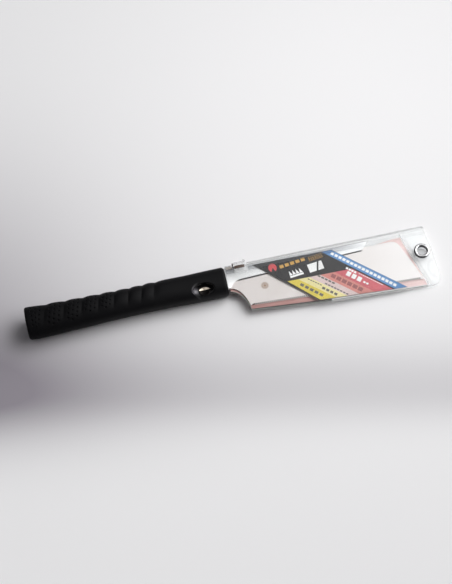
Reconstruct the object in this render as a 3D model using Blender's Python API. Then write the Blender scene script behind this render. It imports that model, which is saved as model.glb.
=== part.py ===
"""Pull saw with a replaceable 180 mm blade, an elastomer-covered handle and a clear sheath.

Frame: metres, +Z up.  The saw lies on its side.  The origin is the centre of the handle's
flat butt face; +X runs along the handle to the blade's tip, +Y runs from the teeth to the
spine, and z = 0 is the blade's mid-plane.
All dimensions below are in millimetres, measured from the centre of the handle's front face,
where blade and handle meet.  BUTT moves them to the butt face when the root is placed, and
MM turns them into metres.
"""
import math

import bmesh
import bpy
from mathutils import Vector

MM = 0.001

# ---- shared dimensions (mm) --------------------------------------------------------------
FIT_GAP = 0.3                 # between parts that fit together
SLIDE_GAP = 0.4               # round the pin and the screw in the tang, and the screw head

# x, half width (Y), half thickness (Z), centre line (Y)
HANDLE_STATIONS = (
    (-206.0, 16.0, 13.4, -1.9),
    (-190.0, 16.1, 13.3, -2.6),
    (-150.0, 15.0, 12.6, -2.35),
    (-100.0, 13.9, 12.0, -1.45),
    (-60.0, 14.4, 12.1, -0.7),
    (-30.0, 15.1, 12.4, -0.6),
    (0.0, 15.3, 12.5, -0.35),
)
BUTT_X = HANDLE_STATIONS[0][0]
BUTT = Vector((-BUTT_X, -HANDLE_STATIONS[0][3], 0.0))   # from the butt face to the datum

SCREW = (-24.0, -7.7)         # the lock screw's axis
SCREW_R, HEAD_R = 2.5, 6.0
SHANK_HOLE_R = SCREW_R + FIT_GAP
PIN = (-52.0, 2.6)            # the tang pin's axis
PIN_R = 2.0                   # of the tang pin and both core pins

SOCKET_HALF_Z = 2.35          # tang socket
POCKET_HALF_Z = SOCKET_HALF_Z + FIT_GAP


# ---- scene helpers -----------------------------------------------------------------------
def clear_scene():
    for obj in list(bpy.data.objects):
        bpy.data.objects.remove(obj, do_unlink=True)


def material(name, rgb, roughness, metallic=0.0, alpha=1.0):
    mat = bpy.data.materials.new(name)
    mat.use_nodes = True
    bsdf = mat.node_tree.nodes["Principled BSDF"]
    bsdf.inputs["Base Color"].default_value = (*rgb, 1.0)
    bsdf.inputs["Roughness"].default_value = roughness
    bsdf.inputs["Metallic"].default_value = metallic
    bsdf.inputs["Alpha"].default_value = alpha
    mat.diffuse_color = (*rgb, alpha)
    return mat


def origin_of(axis):
    """An empty's place from the front-face datum."""
    return Vector(axis["datum_mm"])


def empty(name, parent=None, at=(0.0, 0.0, 0.0)):
    obj = bpy.data.objects.new(name, None)
    obj.empty_display_size = 0.01
    bpy.context.collection.objects.link(obj)
    obj.parent = parent
    base = -BUTT if parent is None else origin_of(parent)
    obj.location = (Vector(at) - base) * MM
    obj["datum_mm"] = list(at)
    return obj


def solid(name, verts, faces, mat, parent, smooth):
    """A mesh object from points given from the front-face datum; its origin is its
    parent empty's place."""
    base = origin_of(parent)
    mesh = bpy.data.meshes.new(name)
    mesh.from_pydata([(Vector(vert) - base) * MM for vert in verts], [], faces)
    bm = bmesh.new()
    bm.from_mesh(mesh)
    bmesh.ops.recalc_face_normals(bm, faces=bm.faces)
    bm.to_mesh(mesh)
    bm.free()
    mesh.materials.append(mat)
    if smooth:
        mesh.shade_smooth()
        mesh.set_sharp_from_angle(angle=math.radians(35.0))
    obj = bpy.data.objects.new(name, mesh)
    bpy.context.collection.objects.link(obj)
    obj.parent = parent
    return obj


def loft(name, rings, mat, parent, closed=False, smooth=True):
    """Rings of equal point counts joined in order.  An open loft has a flat cap at each end;
    a closed one joins its last ring to its first."""
    size, total = len(rings[0]), len(rings)
    verts = [point for ring in rings for point in ring]
    faces = []
    if not closed:
        faces = [list(range(size))[::-1], list(range((total - 1) * size, total * size))]
    for i in range(total if closed else total - 1):
        this, following = i * size, (i + 1) % total * size
        for j in range(size):
            k = (j + 1) % size
            faces.append([this + j, this + k, following + k, following + j])
    return solid(name, verts, faces, mat, parent, smooth)


def prism(name, outline, z0, z1, mat, parent):
    """An (x, y) outline run along Z."""
    rings = [[(x, y, z) for x, y in outline] for z in (z0, z1)]
    return loft(name, rings, mat, parent, smooth=False)


def box(name, low, high, mat, parent):
    (x0, y0, z0), (x1, y1, z1) = low, high
    return prism(name, [(x0, y0), (x1, y0), (x1, y1), (x0, y1)], z0, z1, mat, parent)


def extrude_x(name, profile, x_range, mat, parent):
    """A (y, z) profile run along X."""
    return loft(name, [[(x, y, z) for y, z in profile] for x in x_range], mat, parent)


def turned(name, centre, profile, mat, parent, count=40, closed=False, turn=0.0):
    """A lathe shape about +Z from (radius, z) points.  An open profile runs along the axis
    and is capped; a closed one goes round a tube's section."""
    angles = [turn + 2 * math.pi * i / count for i in range(count)]
    rings = [
        [(centre[0] + radius * math.cos(a), centre[1] + radius * math.sin(a), z) for a in angles]
        for radius, z in profile
    ]
    return loft(name, rings, mat, parent, closed)


def cylinder(name, centre, radius, z0, z1, mat, parent, count=40, turn=0.0):
    profile = [(radius, z0), (radius, z1)]
    return turned(name, centre, profile, mat, parent, count, turn=turn)


def cut(target, *cutters):
    """Cuts each cutter out of target in turn; cutters stay in the file as wire guides."""
    for cutter in cutters:
        cutter.hide_render = True
        cutter.display_type = "WIRE"
        mod = target.modifiers.new("cut_" + cutter.name, "BOOLEAN")
        mod.operation = "DIFFERENCE"
        mod.solver = "EXACT"
        mod.object = cutter


# ---- curve helpers -----------------------------------------------------------------------
def smooth_step(t):
    t = min(1.0, max(0.0, t))
    return t * t * (3 - 2 * t)


def signed_power(value, power):
    return math.copysign(abs(value) ** power, value)


def superellipse(angle, power):
    """Point of a unit superellipse, measured from the first axis."""
    return (signed_power(math.cos(angle), 2 / power), signed_power(math.sin(angle), 2 / power))


def bezier(start, control, end, count):
    """Quadratic curve of count steps."""
    points = []
    for i in range(count + 1):
        t = i / count
        points.append(tuple(
            (1 - t) ** 2 * a + 2 * t * (1 - t) * b + t * t * c
            for a, b, c in zip(start, control, end)
        ))
    return points


def arc(centre, radius, start, end, count):
    """Circular arc of count steps between two angles in degrees."""
    angles = [math.radians(start + (end - start) * i / count) for i in range(count + 1)]
    return [(centre[0] + radius * math.cos(a), centre[1] + radius * math.sin(a)) for a in angles]


# ---- scene, materials and axes -----------------------------------------------------------
clear_scene()

RUBBER = material("grip_rubber", rgb=(0.012, 0.012, 0.014), roughness=0.62)
CORE = material("core_plastic", rgb=(0.05, 0.05, 0.055), roughness=0.55)
STEEL = material("blade_steel", rgb=(0.72, 0.69, 0.68), roughness=0.30, metallic=1.0)
SPINE_STEEL = material("spine_steel", rgb=(0.80, 0.81, 0.80), roughness=0.24, metallic=1.0)
ZINC = material("zinc_steel", rgb=(0.55, 0.56, 0.58), roughness=0.38, metallic=1.0)
NICKEL = material("nickel_screw", rgb=(0.78, 0.74, 0.68), roughness=0.28, metallic=1.0)
CLEAR = material("clear_plastic", rgb=(0.92, 0.94, 0.94), roughness=0.10, alpha=0.25)
CHROME = material("chrome", rgb=(0.85, 0.86, 0.88), roughness=0.08, metallic=1.0)
BRONZE = material("bronze_strip", rgb=(0.16, 0.10, 0.08), roughness=0.35, metallic=0.6)
LABEL = material("printed_card", rgb=(0.10, 0.10, 0.11), roughness=0.45)
PINK = material("pink_card", rgb=(0.55, 0.33, 0.31), roughness=0.70)
CUTTER = material("cutter", rgb=(1.0, 0.4, 0.1), roughness=0.5)

handle = empty("handle_root")
blade_axis = empty("blade_slide_axis", handle)
sheath_axis = empty("sheath_slide_axis", blade_axis)
lift_axis = empty("lock_lift_axis", handle, (*SCREW, 0.0))
turn_axis = empty("lock_turn_axis", lift_axis, (*SCREW, 0.0))


# ---- handle shape ------------------------------------------------------------------------
SECTION_POWER = 2.4           # superellipse power of the handle's section

SCALLOP_FIRST = -183.2        # groove nearest the butt, on the +Y edge
SCALLOP_PITCH = 19.6
SCALLOP_SHRINK = 0.93         # each scallop is this much shorter than the one before
GROOVE_COUNT = 8
SCALLOP_HEIGHT = 1.2
SCALLOP_RISE = 0.28           # share of a scallop's length spent rising
BUTT_SCALLOP_LENGTH = 20.6    # scallop between the butt and the first groove
SWELL_LENGTH = 9.0            # rise after the last groove
SWELL_SHARE = 0.55            # its height as a share of a scallop's

GROOVES = [SCALLOP_FIRST]
for step in range(GROOVE_COUNT - 1):
    GROOVES.append(GROOVES[-1] + SCALLOP_PITCH * SCALLOP_SHRINK**step)


def handle_at(x):
    """Half width, half thickness and centre line of the handle at x, eased between stations."""
    rows = HANDLE_STATIONS
    x = min(max(x, rows[0][0]), rows[-1][0])
    k = next(i for i in range(1, len(rows)) if x <= rows[i][0])
    before, start, end, beyond = rows[max(k - 2, 0)], rows[k - 1], rows[k], rows[min(k + 1, len(rows) - 1)]
    span = end[0] - start[0]
    t = (x - start[0]) / span
    eased = []
    for column in (1, 2, 3):
        start_slope = (end[column] - before[column]) / (end[0] - before[0]) * span
        end_slope = (beyond[column] - start[column]) / (beyond[0] - start[0]) * span
        eased.append(
            (2 * t**3 - 3 * t**2 + 1) * start[column] + (t**3 - 2 * t**2 + t) * start_slope
            + (-2 * t**3 + 3 * t**2) * end[column] + (t**3 - t**2) * end_slope
        )
    return eased


def scallop(x):
    """Height of the finger scallops along the +Y edge: a quick rise after each groove
    towards the blade, then a slow fall to the next one."""
    if x >= GROOVES[-1]:
        return SCALLOP_HEIGHT * SWELL_SHARE * smooth_step((x - GROOVES[-1]) / SWELL_LENGTH)
    if x <= GROOVES[0]:
        start, length = GROOVES[0] - BUTT_SCALLOP_LENGTH, BUTT_SCALLOP_LENGTH
    else:
        k = max(i for i, groove in enumerate(GROOVES) if groove <= x)
        start, length = GROOVES[k], GROOVES[k + 1] - GROOVES[k]
    t = (x - start) / length
    if t < SCALLOP_RISE:
        return SCALLOP_HEIGHT * smooth_step(t / SCALLOP_RISE)
    return SCALLOP_HEIGHT * (1 - ((t - SCALLOP_RISE) / (1 - SCALLOP_RISE)) ** 2)


def section(x, inset, count, slant=0.0, relief=0.0):
    """One ring of the handle: a superellipse inset by a wall, leaning by slant, with relief
    times the scallop height added where the fingers go."""
    half_width, half_thick, centre = handle_at(x)
    half_width, half_thick = half_width - inset, half_thick - inset
    height = relief * scallop(x)
    points = []
    for i in range(count):
        across, up = superellipse(2 * math.pi * i / count, SECTION_POWER)
        # the scallops fade out on the teeth side
        grow = height * smooth_step((across + 0.75) / 0.75)
        y = centre + (half_width + grow) * across
        z = (half_thick + 0.75 * grow * (1 - max(across, 0.0) ** 4)) * up
        points.append((x + slant * (y - centre - half_width), y, z))
    return points


# ---- grip: soft skin ---------------------------------------------------------------------
GRIP_SEGMENTS = 40
BUTT_ROUNDING = ((0.0, 4.2), (0.4, 2.2), (1.4, 0.9), (3.4, 0.15))   # from the butt face, inset
BUTT_RELIEF = 0.4             # share of the scallop height on the rounded butt
FRONT_ROUNDING = ((-1.2, 0.35), (-0.3, 1.1), (0.0, 1.9))            # x, inset
REAR_RING_X = (-196.0, -189.5, -184.6)
SCALLOP_RING_SHARES = (0.0, 0.14, 0.30, 0.66)                       # of each scallop's length
PLAIN_RING_X = (-50.0, -38.0, -25.0, -12.0, -3.0)
GROOVE_SLANT = 0.229          # grooves lean towards the blade on the +Y side
SLANT_X, SLANT_FADE = (-200.0, -52.0), 14.0
RELIEF_END_X, RELIEF_FADE = -20.0, 40.0

SKIN_FRONT, SKIN_REAR = 2.0, 3.0
CAVITY_X = (-199.8, 2.0)
CORE_X = (-199.4, -0.6)
INNER_RING_X = (-180.0, -150.0, -125.0, -100.0, -75.0, -62.0, -45.0, -25.0)


def grip_rings():
    """Outer surface of the grip from the butt to the front face."""
    rings = [
        section(BUTT_X + offset, inset, GRIP_SEGMENTS, relief=BUTT_RELIEF)
        for offset, inset in BUTT_ROUNDING
    ]
    ring_x = list(REAR_RING_X)
    for start, end in zip(GROOVES, GROOVES[1:]):
        ring_x += [start + (end - start) * share for share in SCALLOP_RING_SHARES]
    ring_x += [GROOVES[-1], GROOVES[-1] + SWELL_LENGTH / 2, GROOVES[-1] + SWELL_LENGTH]
    for x in ring_x:
        lean = (smooth_step((x - SLANT_X[0]) / SLANT_FADE)
                * smooth_step((SLANT_X[1] - x) / SLANT_FADE))
        rings.append(section(x, 0.0, GRIP_SEGMENTS, GROOVE_SLANT * lean, 1.0))
    for x in PLAIN_RING_X:
        relief = smooth_step((RELIEF_END_X - x) / RELIEF_FADE)
        rings.append(section(x, 0.0, GRIP_SEGMENTS, relief=relief))
    rings += [section(x, inset, GRIP_SEGMENTS) for x, inset in FRONT_ROUNDING]
    return rings


def skin(x):
    """Wall of the soft skin, thinning towards the blade."""
    return SKIN_REAR + (SKIN_FRONT - SKIN_REAR) * smooth_step((x + 70.0) / 20.0)


def cavity_rings():
    return [section(x, skin(x), 32) for x in (CAVITY_X[0], *INNER_RING_X, CAVITY_X[1])]


# ---- oval thumb recess -------------------------------------------------------------------
RECESS = (-25.0, -7.9, 9.7)
RECESS_TILT = math.radians(23.8)
# place along the recess's axis, half length (X), half width
RECESS_STATIONS = ((-5.4, 6.6, 3.4), (-3.2, 9.8, 5.2), (0.0, 12.0, 6.9), (9.0, 13.0, 7.7))


def recess_rings():
    """Oval scoop whose axis leans towards the teeth as it leaves the handle."""
    count = 36
    tilt_cos, tilt_sin = math.cos(RECESS_TILT), math.sin(RECESS_TILT)
    rings = []
    for out, half_length, half_width in RECESS_STATIONS:
        ring = []
        for i in range(count):
            angle = 2 * math.pi * i / count
            across = half_width * math.sin(angle)
            ring.append((
                RECESS[0] + half_length * math.cos(angle),
                RECESS[1] + tilt_cos * across - tilt_sin * out,
                RECESS[2] + tilt_sin * across + tilt_cos * out,
            ))
        rings.append(ring)
    return rings


grip = loft("grip_sleeve", grip_rings(), RUBBER, handle)
cavity = loft("cutter_grip_cavity", cavity_rings(), CUTTER, handle)
recess = loft("cutter_recess", recess_rings(), CUTTER, handle)
head_well = cylinder(
    "cutter_head_well", SCREW, HEAD_R + SLIDE_GAP, SOCKET_HALF_Z, 22.0, CUTTER, handle,
)
cut(grip, cavity, recess, head_well)


# ---- core halves and their pins ----------------------------------------------------------
CORE_SEGMENTS = 16            # round each half
CORE_FLAT_Z = 0.15            # flat side, from the blade's mid-plane
CORE_WALL = 2.8
HOLLOW_X = ((-191.0, -137.0), (-128.0, -73.0))
CORE_PIN_X = (("rear", -132.5), ("front", -68.5))
CORE_PIN_HALF_LENGTH = 6.5
TANG_PIN_HALF_LENGTH = 8.4


def half_core_rings(sign):
    """Rings of one core half: the flat side faces the blade's mid-plane."""
    rings = []
    for x in (CORE_X[0], *INNER_RING_X, CORE_X[1]):
        half_width, half_thick, centre = handle_at(x)
        inset = skin(x) + FIT_GAP
        ring = []
        for i in range(CORE_SEGMENTS + 1):
            across, up = superellipse(math.pi * i / CORE_SEGMENTS, SECTION_POWER)
            z = sign * max(CORE_FLAT_Z, (half_thick - inset) * up)
            ring.append((x, centre + (half_width - inset) * across, z))
        rings.append(ring)
    return rings


def core_hollow(number, x0, x1):
    rings = [section(x, skin(x) + FIT_GAP + CORE_WALL, 24) for x in (x0, (x0 + x1) / 2, x1)]
    return loft("cutter_core_hollow_%d" % number, rings, CUTTER, handle)


def pin_and_hole(name, centre, half_length):
    """A pin through the mid-plane; returns the cutter for its hole."""
    cylinder(name, centre, PIN_R, -half_length, half_length, ZINC, handle, 28)
    reach = half_length + FIT_GAP
    return cylinder("cutter_" + name, centre, PIN_R + FIT_GAP, -reach, reach, CUTTER, handle, 28)


core_upper = loft("core_upper", half_core_rings(1.0), CORE, handle)
core_lower = loft("core_lower", half_core_rings(-1.0), CORE, handle)
socket_pocket = box(
    "cutter_socket_pocket", (-64.0, -11.0, -POCKET_HALF_Z), (4.0, 11.0, POCKET_HALF_Z),
    CUTTER, handle,
)
hollows = [core_hollow(number, *ends) for number, ends in enumerate(HOLLOW_X, 1)]
core_pin_holes = [
    pin_and_hole("core_pin_" + tag, (x, handle_at(x)[2]), CORE_PIN_HALF_LENGTH)
    for tag, x in CORE_PIN_X
]
tang_pin_hole = pin_and_hole("tang_pin", PIN, TANG_PIN_HALF_LENGTH)
shank_hole = cylinder("cutter_shank", SCREW, SHANK_HOLE_R, -7.5, 4.0, CUTTER, handle, 32)

NUT_HALF_FLATS = 4.0
NUT_BASE_Z = -5.8
# the nut slides in from the teeth side before the skin is moulded on
nut_slot = box(
    "cutter_nut_slot",
    (SCREW[0] - 5.0, -20.0, NUT_BASE_Z - FIT_GAP),
    (SCREW[0] + 5.0, SCREW[1] + NUT_HALF_FLATS + FIT_GAP, -2.0),
    CUTTER, handle,
)
core_cutters = (socket_pocket, *hollows, *core_pin_holes)
cut(core_upper, *core_cutters, recess, head_well, tang_pin_hole)
cut(core_lower, *core_cutters, tang_pin_hole, shank_hole, nut_slot)


# ---- tang socket: a folded steel channel, closed along the spine side --------------------
SOCKET_WALL = 0.8
SOCKET_TOP_Y = 10.6
SOCKET_INNER_Z = SOCKET_HALF_Z - SOCKET_WALL

socket = box(
    "tang_socket", (-63.5, -9.8, -SOCKET_HALF_Z), (-0.9, SOCKET_TOP_Y, SOCKET_HALF_Z),
    ZINC, handle,
)
socket_inside = box(
    "cutter_socket_inside",
    (-70.0, -14.0, -SOCKET_INNER_Z), (4.0, SOCKET_TOP_Y - SOCKET_WALL, SOCKET_INNER_Z),
    CUTTER, handle,
)
cut(socket, socket_inside, shank_hole, tang_pin_hole)


# ---- clamp nut, washer and lock screw ----------------------------------------------------
WASHER_R, WASHER_TOP_Z = 5.7, 3.3
HEAD_BASE_Z = WASHER_TOP_Z + FIT_GAP
COIN_SLOT_HALF_WIDTH, COIN_SLOT_FLOOR_Z = 0.8, 4.75
# radius, z
SCREW_PROFILE = (
    (2.0, -7.2), (SCREW_R, -6.7), (SCREW_R, HEAD_BASE_Z),
    (HEAD_R - 0.3, HEAD_BASE_Z), (HEAD_R, 3.9), (HEAD_R, 5.0),
    (HEAD_R - 0.6, 5.5), (HEAD_R * 0.62, 5.85), (HEAD_R * 0.25, 5.95),
)

nut = cylinder(
    "clamp_nut", SCREW, NUT_HALF_FLATS / math.cos(math.pi / 6), NUT_BASE_Z, -POCKET_HALF_Z,
    ZINC, handle, 6, math.pi / 2 + math.pi / 6,
)
cut(nut, cylinder("cutter_nut_thread", SCREW, SHANK_HOLE_R, -7.0, 0.0, CUTTER, handle, 32))
turned(
    "lock_washer", SCREW,
    [(SHANK_HOLE_R, POCKET_HALF_Z), (WASHER_R, POCKET_HALF_Z),
     (WASHER_R, WASHER_TOP_Z), (SHANK_HOLE_R, WASHER_TOP_Z)],
    ZINC, lift_axis, closed=True,
)
screw = turned("lock_screw", SCREW, SCREW_PROFILE, NICKEL, turn_axis, 48)
cut(screw, box(
    "cutter_coin_slot",
    (SCREW[0] - 8.0, SCREW[1] - COIN_SLOT_HALF_WIDTH, COIN_SLOT_FLOOR_Z),
    (SCREW[0] + 8.0, SCREW[1] + COIN_SLOT_HALF_WIDTH, 9.0),
    CUTTER, turn_axis,
))


# ---- spine: steel folded over the blade's back, narrowed to a tang inside the handle -----
SPINE_HALF_Z = 2.5 / 2
SPINE_WALL = 0.7
SPINE_TOP_AT_HANDLE = 14.4
SPINE_TIP = (153.6, 12.8)
TANG_END_X = -61.5
SHOULDER_X = 0.4              # where the tang widens to the spine
TANG_LOW_Y = -8.4
# x, y of the fold's inside, open towards the teeth
FOLD_OUTLINE = ((2.6, -20.0), (170.0, -20.0), (170.0, 11.15), (2.6, 12.85))


def spine_outline():
    """From the shoulder round the tang, with its pin slot and screw notch, to the tip."""
    pin_slot_r = PIN_R + SLIDE_GAP
    notch_r = SCREW_R + SLIDE_GAP
    return [
        (SHOULDER_X, SPINE_TOP_AT_HANDLE), (SHOULDER_X, 9.4), (TANG_END_X, 8.8),
        (TANG_END_X, PIN[1] + pin_slot_r),
        *arc(PIN, pin_slot_r, 90.0, -90.0, 12),
        (TANG_END_X, PIN[1] - pin_slot_r), (TANG_END_X, SCREW[1] + notch_r),
        *arc(SCREW, notch_r, 90.0, 0.0, 8),
        (SCREW[0] + notch_r, TANG_LOW_Y), (SHOULDER_X, TANG_LOW_Y),
        (SHOULDER_X, -9.1), (3.0, -9.1),
        *bezier((3.6, -8.6), (6.5, -2.4), (14.5, -0.9), 8),
        (145.0, 3.4), SPINE_TIP,
    ]


spine = prism("spine", spine_outline(), -SPINE_HALF_Z, SPINE_HALF_Z, SPINE_STEEL, blade_axis)
fold = SPINE_HALF_Z - SPINE_WALL
cut(spine, prism("cutter_spine_fold", FOLD_OUTLINE, -fold, fold, CUTTER, blade_axis))


# ---- blade -------------------------------------------------------------------------------
BLADE_LENGTH = 180.0          # toothed length, heel to tip
BLADE_HALF_Z = 0.5 / 2
HEEL = (18.7, -31.9)          # first point of the tooth line
TOOTH_LINE_ANGLE = math.atan(-0.0559)   # drops away from the spine towards the tip
TOOTH_PITCH = 2.0
TOOTH_DEPTH = 1.25
TOOTH_START = 3.4             # from the heel to where the first tooth begins
PLAIN_LENGTH = 5.0            # part of the tooth line left without teeth
GULLET_SHARE = 0.30           # gullet's place within a pitch


def on_tooth_line(along, depth=0.0):
    """Point at a distance from the heel, raised by depth towards the spine."""
    along_x, along_y = math.cos(TOOTH_LINE_ANGLE), math.sin(TOOTH_LINE_ANGLE)
    return (HEEL[0] + along * along_x - along_y * depth,
            HEEL[1] + along * along_y + along_x * depth)


def blade_outline():
    outline = [(3.2, 12.5), (3.2, -8.9), *bezier((4.2, -9.2), (15.0, -12.7), HEEL, 14)]
    for i in range(int((BLADE_LENGTH - PLAIN_LENGTH) / TOOTH_PITCH)):
        start = TOOTH_START + i * TOOTH_PITCH
        outline.append(on_tooth_line(start + TOOTH_PITCH * GULLET_SHARE, TOOTH_DEPTH))
        outline.append(on_tooth_line(start + TOOTH_PITCH))
    outline += [on_tooth_line(BLADE_LENGTH), (181.6, -1.6)]
    outline += bezier((181.3, -0.9), (179.6, 3.4), (174.6, 3.9), 6)
    outline += [(143.0, 6.3), (140.0, 10.8)]
    return outline


prism("blade", blade_outline(), -BLADE_HALF_Z, BLADE_HALF_Z, STEEL, blade_axis)


# ---- sheath panels and spacers -----------------------------------------------------------
PANEL_Z = (2.1, 2.7)          # each clear panel, either side of the blade
PANEL_TOP = 13.4
SPACER_HALF_Z = PANEL_Z[0] - FIT_GAP
SEAT_Z = PANEL_Z[1] + FIT_GAP           # rail lips and eyelet flanges, off the panels
EYELET = (204.0, -12.6)
EYELET_HOLE_R, EYELET_BARREL_R, EYELET_R = 4.9, 5.6, 8.0
BARREL_CLEAR_R = EYELET_BARREL_R + FIT_GAP

# x, y
PANEL_OUTLINE = [
    (1.8, PANEL_TOP), (1.8, -13.2), (4.3, -13.9),
    *bezier((6.2, -14.9), (15.2, -20.4), (18.6, -37.7), 10),
    (87.4, -44.9), (199.4, -51.5),
    *arc((206.5, -43.2), 8.4, -90.0, -14.0, 8),
    (215.5, -36.0), (215.5, -10.0), (213.9, 6.5), (213.2, PANEL_TOP),
]
END_SPACER_OUTLINE = [
    (187.2, 13.0), (189.9, 0.0), (201.6, -51.1), (206.4, -51.1),
    *arc((206.4, -43.2), 7.9, -84.0, -14.0, 8),
    (215.0, -36.0), (215.0, -10.0), (213.4, 6.5), (212.8, 13.0),
]
EDGE_SPACER_OUTLINE = [
    (100.0, -43.7), (100.0, -45.3), (199.6, -51.1), (201.1, -51.1), (200.8, -49.9),
]

eyelet_hole = cylinder(
    "cutter_eyelet_hole", EYELET, BARREL_CLEAR_R, -6.0, 6.0, CUTTER, sheath_axis,
)
front_panel = prism("sheath_front_panel", PANEL_OUTLINE, *PANEL_Z, CLEAR, sheath_axis)
back_panel = prism(
    "sheath_back_panel", PANEL_OUTLINE, -PANEL_Z[1], -PANEL_Z[0], CLEAR, sheath_axis,
)
end_spacer = prism(
    "end_spacer", END_SPACER_OUTLINE, -SPACER_HALF_Z, SPACER_HALF_Z, CLEAR, sheath_axis,
)
for sheet in (front_panel, back_panel, end_spacer):
    cut(sheet, eyelet_hole)
prism("edge_spacer", EDGE_SPACER_OUTLINE, -SPACER_HALF_Z, SPACER_HALF_Z, CLEAR, sheath_axis)


# ---- sheath rails and clip ---------------------------------------------------------------
RAIL_POWER = 2.6              # superellipse power of the rail's section
RAIL_CENTRE_Y, RAIL_HALF_Y, RAIL_HALF_Z, RAIL_WALL = 10.8, 5.4, 4.4, 0.8
RAIL_X, MOUTH_RAIL_X, CLIP_X = (25.0, 213.0), (1.9, 10.4), (10.8, 23.6)


def channel_side(centre_y, half_y, half_z):
    """(y, z) points of one face, from the +Z lip over the spine side to the -Z lip."""
    count = 22
    lip_angle = math.pi - math.asin((SEAT_Z / half_z) ** (RAIL_POWER / 2))
    points = []
    for i in range(count + 1):
        across, up = superellipse(lip_angle - 2 * lip_angle * i / count, RAIL_POWER)
        points.append((centre_y + half_y * across, half_z * up))
    return points


def channel_profile(centre_y, half_y, half_z, wall):
    """A rounded channel that hooks over the spine side of both panels, open towards the
    teeth."""
    outer = channel_side(centre_y, half_y, half_z)
    return outer + channel_side(centre_y, half_y - wall, half_z - wall)[::-1]


rail_profile = channel_profile(RAIL_CENTRE_Y, RAIL_HALF_Y, RAIL_HALF_Z, RAIL_WALL)
extrude_x("sheath_rail", rail_profile, RAIL_X, CLEAR, sheath_axis)
extrude_x("mouth_rail", rail_profile, MOUTH_RAIL_X, CLEAR, sheath_axis)
clip_profile = channel_profile(
    RAIL_CENTRE_Y + 1.0, RAIL_HALF_Y + 1.3, RAIL_HALF_Z + 0.3, wall=1.1,
)
extrude_x("mouth_clip", clip_profile, CLIP_X, CLEAR, sheath_axis)
box("clip_strip", (11.2, 10.7, 5.0), (23.2, 13.3, 5.4), BRONZE, sheath_axis)


# ---- eyelet: a pressed ring with its barrel through both panels, and its washer ----------
# radius, z
EYELET_PROFILE = (
    (EYELET_HOLE_R, -4.4), (EYELET_BARREL_R, -4.4), (EYELET_BARREL_R, SEAT_Z),
    (EYELET_R, SEAT_Z), (EYELET_R, 3.5), (7.6, 4.3), (6.9, 4.8), (6.1, 4.9), (5.3, 4.5),
    (EYELET_HOLE_R, 3.7),
)
EYELET_WASHER_PROFILE = (
    (BARREL_CLEAR_R, -SEAT_Z), (BARREL_CLEAR_R, -3.7), (7.2, -3.8),
    (EYELET_R, -3.4), (EYELET_R, -SEAT_Z),
)
turned("eyelet", EYELET, EYELET_PROFILE, CHROME, sheath_axis, 48, closed=True)
turned("eyelet_washer", EYELET, EYELET_WASHER_PROFILE, CHROME, sheath_axis, 48, closed=True)


# ---- cards: printed on the blade's +Z side, plain on its -Z side -------------------------
CARD_Z = (1.55, 1.80)
# x, y
LABEL_OUTLINE = [(30.0, 11.6), (87.4, -42.2), (178.9, -48.2), (113.9, 10.3)]
BACK_CARD_OUTLINE = [
    (16.5, 11.6), (8.0, -10.0),
    *bezier((9.0, -13.0), (16.0, -17.0), (17.9, -34.5), 8),
    (87.4, -40.6), (200.2, -48.8), (187.2, 6.1), (186.2, 10.4),
]
prism("label_card", LABEL_OUTLINE, *CARD_Z, LABEL, sheath_axis)
prism("back_card", BACK_CARD_OUTLINE, -CARD_Z[1], -CARD_Z[0], PINK, sheath_axis)
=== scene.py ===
"""A pull saw in a clear sheath with a printed label, lying on a pale studio floor.

The saw lies along X: handle towards -X, tip towards +X, teeth towards -Y, label facing +Z.
Shapes are in millimetres from a datum on the handle's front face.
"""
import math

import bmesh
import bpy
import numpy as np
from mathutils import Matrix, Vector


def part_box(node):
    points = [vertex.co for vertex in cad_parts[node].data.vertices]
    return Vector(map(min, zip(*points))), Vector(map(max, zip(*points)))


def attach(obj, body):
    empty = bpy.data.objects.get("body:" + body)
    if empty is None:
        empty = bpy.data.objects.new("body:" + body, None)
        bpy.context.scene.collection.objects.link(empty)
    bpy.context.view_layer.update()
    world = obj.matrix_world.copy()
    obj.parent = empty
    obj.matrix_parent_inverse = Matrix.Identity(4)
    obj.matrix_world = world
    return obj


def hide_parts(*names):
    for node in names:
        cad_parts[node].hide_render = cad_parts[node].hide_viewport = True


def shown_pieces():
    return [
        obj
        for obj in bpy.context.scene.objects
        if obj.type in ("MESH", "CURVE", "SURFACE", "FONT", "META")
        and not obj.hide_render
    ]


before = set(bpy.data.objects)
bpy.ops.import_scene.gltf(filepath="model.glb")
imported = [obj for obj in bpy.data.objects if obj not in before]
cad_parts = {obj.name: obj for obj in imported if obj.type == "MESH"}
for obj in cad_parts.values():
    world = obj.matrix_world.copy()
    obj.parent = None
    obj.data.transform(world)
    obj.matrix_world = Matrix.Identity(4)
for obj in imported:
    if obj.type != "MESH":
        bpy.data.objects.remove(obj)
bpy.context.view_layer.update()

MM = 0.001
SPINE_TOP = 14.4                        # the spine's top edge above the datum, at the handle
DATUM = (
    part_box("grip_sleeve")[1].x / MM,
    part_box("spine")[1].y / MM - SPINE_TOP,
    (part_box("spine")[0].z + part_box("spine")[1].z) / 2 / MM,
)
# places that both shapes and materials use
SCREW = (-24.0, -7.7)
EYELET = (204.0, -12.6)
TOOTH_SLOPE = -0.0559                   # dy/dx of the tooth line


# ------------------------------------------------------------------------- mesh helpers
def smooth_step(t):
    t = np.clip(t, 0.0, 1.0)
    return t * t * (3 - 2 * t)


def signed_power(value, power):
    return np.copysign(abs(value) ** power, value)


def shade_smooth(mesh, sharp):
    mesh.shade_smooth()
    mesh.set_sharp_from_angle(angle=math.radians(sharp))


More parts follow.
